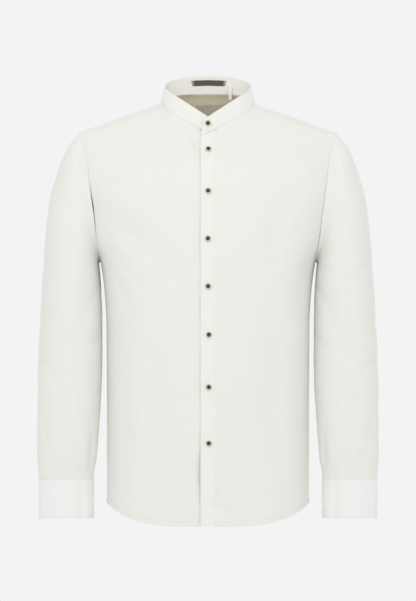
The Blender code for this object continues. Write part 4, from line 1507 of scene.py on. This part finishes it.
@dataclass
class Button:
    """A turned four-hole button, sewn on through its holes."""

    radius: float = 5.7
    thick: float = 2.2
    rim: float = 1.5
    dish: float = 0.75
    hole_out: float = 1.25
    hole: float = 0.5
    thread: float = 0.32
    # shift of the dark middle off centre, so one side of the tan rim shows thinner: painted shade
    painted_shade_shift: float = 0.55
    facets: int = 36

    def profile(self) -> list:
        """Outline from the middle of the face, over the rim, to the middle of the back."""
        r, t = self.radius, self.thick
        return [(0.0, t - self.dish), (r - self.rim - 1.1, t - self.dish + 0.05),
                (r - self.rim - 0.3, t - 0.22), (r - self.rim + 0.3, t),
                (r - 0.55, t - 0.04), (r - 0.12, t - 0.42), (r, t - 0.95), (r - 0.18, 0.6),
                (r - 0.9, 0.12), (0.0, 0.0)]

    def frame(self, seat: Array, normal: Array, turn: float) -> Matrix:
        """Placement of a button that stands on a point, turned about its own axis."""
        up = Vector(unit(normal))
        across = Vector((0.0, 0.0, 1.0)).cross(up).normalized()
        ahead = up.cross(across)
        facing = Matrix((across, ahead, up)).transposed().to_4x4()
        return (Matrix.Translation(Vector(seat) * MM) @ facing
                @ Matrix.Rotation(math.radians(turn), 4, "Z"))

    def build(self, name: str, seat: Array, normal: Array, turn: float,
              horn: bpy.types.Material) -> bpy.types.Object:
        """Make the button's body by turning its profile.

        Args:
            name: the piece's name.
            seat: point of the cloth under its middle, in millimetres.
            normal: direction it faces.
            turn: degrees about its own axis.
            horn: its finish.

        Returns:
            The button.
        """
        bm = bmesh.new()
        verts = [bm.verts.new((r * MM, 0.0, h * MM)) for r, h in self.profile()]
        edges = [bm.edges.new(pair) for pair in zip(verts, verts[1:])]
        bmesh.ops.spin(bm, geom=verts + edges, cent=(0.0, 0.0, 0.0), axis=(0.0, 0.0, 1.0),
                       angle=TURN, steps=self.facets, use_merge=True, use_duplicate=False)
        bmesh.ops.remove_doubles(bm, verts=bm.verts, dist=1e-6)
        bmesh.ops.recalc_face_normals(bm, faces=bm.faces)
        uv = bm.loops.layers.uv.new("cloth")
        for face in bm.faces:
            for loop in face.loops:
                # UV set off the button's middle: the dark centre sits off centre as painted shade
                # on one side of the rim
                loop[uv].uv = (loop.vert.co.x, loop.vert.co.y - self.painted_shade_shift * MM)
        bmesh.ops.transform(bm, matrix=self.frame(seat, normal, turn), verts=bm.verts)
        piece = new_object(f"{name}_horn", bm)
        piece.data.materials.append(horn)
        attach(piece, "root")
        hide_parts(name)
        return piece

    def sew(self, name: str, seat: Array, normal: Array, turn: float,
            thread: bpy.types.Material, dark: bpy.types.Material) -> bpy.types.Object:
        """Make the four holes, as flat near-black discs of painted shade, and the thread that
        crosses between them.

        Args:
            name: the piece's name.
            seat: point of the cloth under the button.
            normal: direction it faces.
            turn: degrees about its own axis.
            thread: finish of the thread.
            dark: finish of the holes, near-black painted shade.

        Returns:
            The piece.
        """
        bm = bmesh.new()
        floor = (self.thick - self.dish + 0.04) * MM
        for k in range(4):
            a = math.pi * (0.25 + 0.5 * k)
            spot = Vector((math.cos(a), math.sin(a), 0.0)) * self.hole_out * MM
            place = Matrix.Translation(spot + Vector((0.0, 0.0, floor)))
            bmesh.ops.create_circle(bm, cap_ends=True, segments=12, radius=self.hole * MM,
                                    # the hole discs take the near-black painted shade
                                    matrix=place)
        for face in bm.faces:
            face.material_index = 1
        for k in (-1, 1):
            shift = Vector((0.7 * self.hole_out * k * MM, 0.0, floor + 0.12 * MM))
            made = bmesh.ops.create_uvsphere(bm, u_segments=8, v_segments=6, radius=0.5)
            size = Matrix.Diagonal((self.thread * MM, 2.1 * self.hole_out * MM,
                                    0.8 * self.thread * MM, 1.0))
            place = Matrix.Translation(shift) @ size @ Matrix.Rotation(math.pi / 2.0, 4, "X")
            bmesh.ops.transform(bm, matrix=place, verts=made["verts"])
        bmesh.ops.transform(bm, matrix=self.frame(seat, normal, turn), verts=bm.verts)
        piece = new_object(name, bm)
        piece.data.materials.append(thread)
        piece.data.materials.append(dark)
        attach(piece, "root")
        return piece


@dataclass
class Fastenings:
    """All ten buttons and their buttonholes."""

    body: BodyForm
    fronts: Fronts
    collar: Collar
    cuffs: Cuffs
    button: Button = field(default_factory=Button)
    # x, z, turn
    front_row: tuple = (
        (0.6, -84.0, -14.0), (0.6, -159.5, 35.0), (0.0, -245.0, 5.0), (0.6, -330.0, 60.0),
        (1.8, -417.0, 28.0), (1.2, -511.0, -40.0), (1.6, -611.5, 12.0),
    )
    collar_spot: tuple = (-0.6, -37.0, 20.0)
    hole_length: float = 14.0
    hole_pitch: float = 0.55
    hole_lips: tuple = (0.3, 1.5)
    seat_lift: float = 0.35

    def front_seat(self, x: float, z: float) -> tuple[Array, Array]:
        """Point on the placket's face and its direction."""
        share = np.linspace(0.0, 1.0, 2001)
        points, normals = self.fronts.placket_points(np.full_like(share, x), share,
                                                     self.fronts.placket_proud)
        k = int(np.argmin(np.abs(points[:, 2] - z)))
        return points[k], normals[k]

    def collar_seat(self) -> tuple[Array, Array]:
        """Point on the collar's over end and its direction."""
        points, normals = self.collar.band(np.linspace(0.1, 0.9, 81))
        over = points.shape[1] // 2
        gap = np.hypot(points[:, over:, 0] - self.collar_spot[0],
                       points[:, over:, 2] - self.collar_spot[1])
        r, c = np.unravel_index(int(np.argmin(gap)), gap.shape)
        return points[r, over + c], normals[r, over + c]

    def build(self, horn: bpy.types.Material, thread: bpy.types.Material,
              dark: bpy.types.Material, stitches: Topstitch) -> list:
        """Make the buttons, their sewing threads and the buttonholes.

        Args:
            horn: finish of the buttons.
            thread: finish of their thread.
            dark: finish of their holes.
            stitches: takes the buttonhole stitches.

        Returns:
            The buttons and threads.
        """
        seats = [("button_1", *self.collar_seat(), self.collar_spot[2], Way.FLAT)]
        for number, (x, z, turn) in enumerate(self.front_row, start=2):
            seats.append((f"button_{number}", *self.front_seat(x, z), turn, Way.UPRIGHT))
        for hand in (Hand.LEFT, Hand.RIGHT):
            seats.append((f"cuff_button_{hand.name.lower()}",
                          *self.cuffs.button_seat(hand), 0.0, Way.FLAT))
        made = []
        for name, seat, normal, turn, way in seats:
            above = seat + normal * self.seat_lift
            made.append(self.button.build(name, above, normal, turn, horn))
            made.append(self.button.sew(f"{name}_thread", above, normal, turn, thread, dark))
            self.buttonhole(stitches, seat, normal, way)
        return made

    def buttonhole(self, stitches: Topstitch, seat: Array, normal: Array, way: Way) -> None:
        """Add close stitches along both lips of a buttonhole, at right angles to it.

        Args:
            stitches: takes them.
            seat: middle of the buttonhole.
            normal: direction out of the cloth.
            way: which way the buttonhole runs.
        """
        up = unit(np.array([0.0, 0.0, 1.0]) - normal[2] * normal)
        across = np.cross(normal, up)
        run, width = (up, across) if way is Way.UPRIGHT else (across, up)
        inner, outer = self.hole_lips
        for lip in (-1.0, 1.0):
            for step in np.arange(-0.5 * self.hole_length, 0.5 * self.hole_length, self.hole_pitch):
                base = seat + run * step + normal * 0.12
                stitches.bars.append((base + width * lip * inner, base + width * lip * outer,
                                      normal))


@dataclass
class Labels:
    """Bare cloth labels inside the back of the neck."""

    collar: Collar
    yoke: Yoke
    wall: float = 0.5
    clear: float = 0.35
    # x where the tape starts, its pale ends meet its middle, and it stops
    tape_x: tuple = (-29.0, -26.0, 28.5, 32.0)
    label_x: tuple = (-20.0, 31.0, 30)

    def tape(self, tape: bpy.types.Material, pale: bpy.types.Material) -> bpy.types.Object:
        """Returns: the dark tape across the inside of the band, with its pale sewn ends."""
        shares = np.linspace(0.46, 0.76, 9)
        points, normals = self.collar.band(shares)
        inner = points - normals * (self.collar.wall + self.clear)
        start, first, last, stop = self.tape_x
        keep = (inner[0, :, 1] > 20.0) & (inner[0, :, 0] > start) & (inner[0, :, 0] < stop)
        shell = Shell.on_grid("label_tape", inner[:, keep])
        piece = shell.build(self.wall, lambda place: Vector((0.0, -1.0, 0.0)))
        piece.data.materials.append(tape)
        piece.data.materials.append(pale)
        for face in piece.data.polygons:
            x = face.center.x / MM
            face.material_index = 0 if first <= x <= last else 1
        self.tie(piece, "label_tape", "dark_tape", (0.062, 0.011), ["collar"])
        return piece

    def neck_label(self, woven: bpy.types.Material) -> bpy.types.Object:
        """Returns: the wide bare label on the inside of the yoke."""
        share = np.linspace(0.21, 0.58, 22)[:, None]
        neck = np.linspace(0.0, 0.55, 40)[None, :]
        points, normals = self.yoke.points(share, neck, np.zeros((1, 1)))
        inner = (points - normals * (self.yoke.wall + self.clear))[:, :40]
        whole = np.concatenate([Hand.RIGHT.turned(inner[:, :0:-1]), inner], axis=1)
        x = np.linspace(*self.label_x)
        rows = [[np.array([np.interp(v, row[:, 0], row[:, k]) for k in range(3)]) for v in x]
                for row in whole]
        shell = Shell.on_grid("label_neck", np.array(rows))
        piece = shell.build(self.wall, lambda place: Vector((0.0, -1.0, 1.0)))
        piece.data.materials.append(woven)
        self.tie(piece, "label_neck", "label", (0.052, 0.048), ["yoke"])
        return piece

    def size_tab(self, white: bpy.types.Material) -> bpy.types.Object:
        """Returns: the narrow white tab that hangs from the band."""
        low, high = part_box("size_tab")
        x = np.linspace(low[0], high[0], 7) / MM
        z = np.linspace(low[2], high[2], 20) / MM
        y = float(low[1]) / MM - 0.2 + 0.4 * np.cos((z - z[0]) / 6.0)
        points = stack(x[None, :], y[:, None], z[:, None])
        piece = Shell.on_grid("size_tab", points).build(
            self.wall, lambda place: Vector((0.0, -1.0, 0.0)))
        piece.data.materials.append(white)
        self.tie(piece, "size_tab", "white_tape", (0.0105, 0.020), ["collar"])
        return piece

    @staticmethod
    def tie(piece: bpy.types.Object, node: str, slot: str, flat: tuple, rests_on: list) -> None:
        """Hang a label under the root body and hide its CAD node."""
        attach(piece, "root")
        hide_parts(node)


# -------------------------------------------------------------------------------- studio
@dataclass(frozen=True)
class Studio:
    """Pale floor, even pale surroundings, soft lights and a distant long lens."""

    pale: tuple = (0.896, 0.896, 0.896, 1.0)
    ambient: float = 1.0
    # name, place, size, power
    lamps: tuple = (
        ("key", (-1.1, -2.9, 0.7), 1.8, 17.5), ("fill", (1.6, -2.7, 0.3), 1.8, 9.0),
        ("back", (0.9, 3.0, 0.9), 2.0, 38.0), ("crown", (0.0, -1.2, 1.9), 1.2, 3.0),
    )
    floor_z: float = -1.02
    floor_radius: float = 14.0
    distance: float = 9.0
    middle_z: float = -0.3555
    near_y: float = -0.06
    view_height: float = 1.0818
    sensor: float = 36.0

    def floor(self) -> bpy.types.Object:
        """Returns: a wide floor in the same tone as its surroundings."""
        bm = bmesh.new()
        bmesh.ops.create_circle(bm, cap_ends=True, segments=96, radius=self.floor_radius,
                                matrix=Matrix.Translation((0.0, 0.0, self.floor_z)))
        made = new_object("floor", bm)
        made.data.materials.append(Plain("pale_floor", self.pale).build())
        made.visible_diffuse = False
        return made

    def light(self, name: str, place: Sequence[float], size: float, power: float) -> None:
        """Add a square soft light that faces the shirt's middle.

        Args:
            name: its name.
            place: where it stands, in metres.
            size: its side.
            power: its power in watts.
        """
        lamp = bpy.data.lights.new(name, "AREA")
        lamp.size = size
        lamp.energy = power
        made = bpy.data.objects.new(name, lamp)
        made.location = place
        aim = Vector((0.0, 0.0, self.middle_z)) - Vector(place)
        made.rotation_mode = "QUATERNION"
        made.rotation_quaternion = aim.to_track_quat("-Z", "Y")
        bpy.context.scene.collection.objects.link(made)

    def build(self) -> None:
        """Make the floor, the surroundings, the lights and the camera."""
        scene = bpy.context.scene
        scene.view_settings.view_transform = "Standard"
        scene.view_settings.look = "None"
        world = bpy.data.worlds.new("studio")
        scene.world = world
        world.use_nodes = True
        tree = world.node_tree
        seen = tree.nodes["Background"]
        seen.inputs["Color"].default_value = self.pale
        shine = tree.nodes.new("ShaderNodeBackground")
        shine.inputs["Color"].default_value = self.pale
        shine.inputs["Strength"].default_value = self.ambient
        path = tree.nodes.new("ShaderNodeLightPath")
        pick = tree.nodes.new("ShaderNodeMixShader")
        tree.links.new(path.outputs["Is Camera Ray"], pick.inputs[0])
        tree.links.new(shine.outputs[0], pick.inputs[1])
        tree.links.new(seen.outputs[0], pick.inputs[2])
        tree.links.new(pick.outputs[0], tree.nodes["World Output"].inputs["Surface"])
        self.floor()
        for name, place, size, power in self.lamps:
            self.light(name, place, size, power)
        lens = bpy.data.cameras.new("camera")
        lens.sensor_fit = "AUTO"
        lens.sensor_width = self.sensor
        lens.lens = self.sensor * self.distance / self.view_height
        lens.clip_start = 0.5
        lens.clip_end = 60.0
        camera = bpy.data.objects.new("camera", lens)
        camera.location = (0.0, self.near_y - self.distance, self.middle_z)
        camera.rotation_euler = (math.radians(90.0), 0.0, 0.0)
        scene.collection.objects.link(camera)
        scene.camera = camera


# ------------------------------------------------------------------------------ creases
# start x and z, end x and z, width, depth, bow; on a sleeve x is degrees round it
FRONT_CREASES = (
    Crease(-196.0, -190.0, -66.0, -300.0, 24.0, 5.0),
    Crease(146.0, -140.0, 98.0, -330.0, 22.0, 4.0),
    Crease(190.0, -262.0, 158.0, -380.0, 16.0, 3.5),
    Crease(-96.0, -470.0, -92.0, -752.0, 22.0, 6.0),
    Crease(118.0, -390.0, 124.0, -680.0, 24.0, 5.0),
    Crease(26.0, -690.0, 12.0, -742.0, 9.0, 3.5, 3.0),
    Crease(12.0, -728.0, 60.0, -738.0, 13.0, 3.6),
    Crease(-30.0, -62.0, -15.0, -76.0, 4.0, 3.4, 1.0),
    Crease(-27.0, -70.0, -15.0, -84.0, 3.2, 2.4, 1.0),
    Crease(-36.0, -60.0, -52.0, -92.0, 5.0, 1.4, 2.0),
    Crease(-168.0, -310.0, -142.0, -380.0, 10.0, 2.2, -4.0),
    Crease(-186.0, -230.0, -120.0, -330.0, 12.0, 1.8, 8.0),
    Crease(60.0, -150.0, 26.0, -260.0, 20.0, 1.6, -6.0),
    Crease(-70.0, -130.0, -30.0, -250.0, 20.0, 1.6, 6.0),
    Crease(96.0, -560.0, 70.0, -740.0, 18.0, 2.6, 4.0),
    Crease(-40.0, -560.0, -52.0, -740.0, 16.0, 2.4, -4.0),
    Crease(-150.0, -480.0, -146.0, -700.0, 18.0, 2.6, 3.0),
    Crease(160.0, -470.0, 164.0, -690.0, 16.0, 2.4, -3.0),
    Crease(40.0, -300.0, 54.0, -470.0, 18.0, 1.3, 4.0),
    Crease(-30.0, -310.0, -44.0, -470.0, 18.0, 1.3, -4.0),
    Crease(210.0, -120.0, 150.0, -170.0, 12.0, 1.5, 3.0),
    Crease(-212.0, -120.0, -150.0, -165.0, 12.0, 1.5, -3.0),
)
BACK_CREASES = (
    Crease(-178.0, -215.0, -92.0, -420.0, 26.0, 5.0),
    Crease(178.0, -215.0, 104.0, -400.0, 24.0, 5.0),
    Crease(-60.0, -430.0, -72.0, -750.0, 26.0, 6.0),
    Crease(66.0, -480.0, 58.0, -750.0, 24.0, 5.0),
    Crease(0.0, -100.0, 4.0, -300.0, 12.0, 1.8, 3.0),
    Crease(-24.0, -100.0, -36.0, -260.0, 9.0, 1.4, -3.0),
    Crease(26.0, -100.0, 38.0, -250.0, 9.0, 1.4, 3.0),
    Crease(140.0, -450.0, 132.0, -730.0, 20.0, 3.2, 5.0),
    Crease(-138.0, -430.0, -132.0, -720.0, 20.0, 3.2, -5.0),
    Crease(0.0, -520.0, -6.0, -740.0, 22.0, 2.6, 4.0),
)
SLEEVE_CREASES = (
    Crease(182.0, -292.0, 120.0, -306.0, 9.0, 2.4, 4.0),
    Crease(186.0, -398.0, 128.0, -380.0, 10.0, 2.6, -4.0),
    Crease(184.0, -464.0, 118.0, -484.0, 10.0, 2.6, 5.0),
    Crease(38.0, -590.0, 30.0, -690.0, 12.0, 3.4, 3.0),
    Crease(60.0, -330.0, 96.0, -470.0, 18.0, 2.0, 8.0),
    Crease(20.0, -330.0, 66.0, -392.0, 9.0, 1.8, -4.0),
    Crease(16.0, -420.0, 74.0, -440.0, 9.0, 1.8, 4.0),
    Crease(24.0, -510.0, 84.0, -490.0, 10.0, 1.8, -4.0),
    Crease(140.0, -540.0, 120.0, -670.0, 16.0, 2.4, -6.0),
    Crease(84.0, -600.0, 74.0, -690.0, 10.0, 1.8, 3.0),
    Crease(118.0, -160.0, 70.0, -300.0, 18.0, 2.2, -6.0),
    Crease(150.0, -130.0, 128.0, -250.0, 16.0, 1.6, 5.0),
    Crease(238.0, -300.0, 300.0, -330.0, 12.0, 2.4, 5.0),
    Crease(232.0, -420.0, 306.0, -400.0, 12.0, 2.6, -5.0),
    Crease(250.0, -470.0, 312.0, -500.0, 12.0, 2.2, 4.0),
    Crease(262.0, -600.0, 254.0, -700.0, 12.0, 3.0, 3.0),
    Crease(226.0, -610.0, 222.0, -700.0, 11.0, 2.4, -3.0),
    Crease(290.0, -160.0, 262.0, -280.0, 18.0, 2.2, 6.0),
)


def sew_on(stitches: Topstitch, thread: bpy.types.Material) -> bpy.types.Object:
    """Returns: the stitching as one dressed piece."""
    piece = stitches.build()
    piece.data.materials.append(thread)
    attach(piece, "root")
    return piece


def main() -> None:
    """Build the shirt piece by piece, then the studio."""
    logging.basicConfig(level=logging.INFO, format="%(message)s")
    body = BodyForm(front_creases=FRONT_CREASES, back_creases=BACK_CREASES)
    linen = Linen("body_linen", colour_of(225, 225.5, 220)).build()
    band = Linen("band_linen", colour_of(228, 228, 223), weave_depth=0.18).build()
    cuff = Linen("cuff_linen", colour_of(229, 229, 227), weave_depth=0.18).build()
    # lighter copy of the band linen for the collar's inner face: painted light on a face that lies
    # in shade
    lit_band_inside = Linen("band_inside_linen", colour_of(247, 246, 239)).build()
    # beige-tinted copy of the linen for the yoke's inner face: painted warm shade inside the back
    # neck
    warm_shaded_yoke_inside = Linen("yoke_inside_linen", colour_of(247, 238, 212)).build()
    thread = Thread("off_white_thread", colour_of(238, 238, 232)).build()
    dark_thread = Thread("brown_thread", colour_of(96, 84, 66)).build()
    hole = Thread("hole_shade", colour_of(12, 9, 6)).build()
    horn = Horn().build()
    tape = WovenTape("dark_woven_tape", colour_of(92, 84, 76)).build()
    tape_end = WovenTape("olive_tape_end", colour_of(176, 172, 132)).build()
    woven = WovenTape("bare_label", colour_of(232, 224, 202), spread=0.08).build()
    white = WovenTape("white_tab", colour_of(253, 253, 250)).build()

    body_rows = Topstitch("stitches_body")
    band_rows = Topstitch("stitches_collar")
    cuff_rows = Topstitch("stitches_cuffs")
    fronts = Fronts(body)
    yoke = Yoke(body)
    collar = Collar(body, yoke)
    cuffs = Cuffs(body)
    sleeves = Sleeves(body, yoke, cuffs, creases=SLEEVE_CREASES)
    made = fronts.build(linen, band, body_rows)
    made.append(Back(body).build(linen, body_rows))
    made.append(yoke.build(linen, warm_shaded_yoke_inside, body_rows))
    made.append(collar.build(band, lit_band_inside, band_rows))
    for hand in Hand:
        made.append(sleeves.build(linen, hand))
        made.append(cuffs.build(cuff, cuff_rows, hand))
    made += Fastenings(body, fronts, collar, cuffs).build(horn, dark_thread, hole, body_rows)
    labels = Labels(collar, yoke)
    made += [labels.tape(tape, tape_end), labels.neck_label(woven), labels.size_tab(white)]
    made.append(sew_on(body_rows, thread))
    made.append(sew_on(band_rows, thread))
    made.append(sew_on(cuff_rows, thread))
    for piece in made:
        LOG.info("%s: %d faces", piece.name, len(piece.data.polygons))
    Studio().build()


if __name__ == "__main__":
    main()
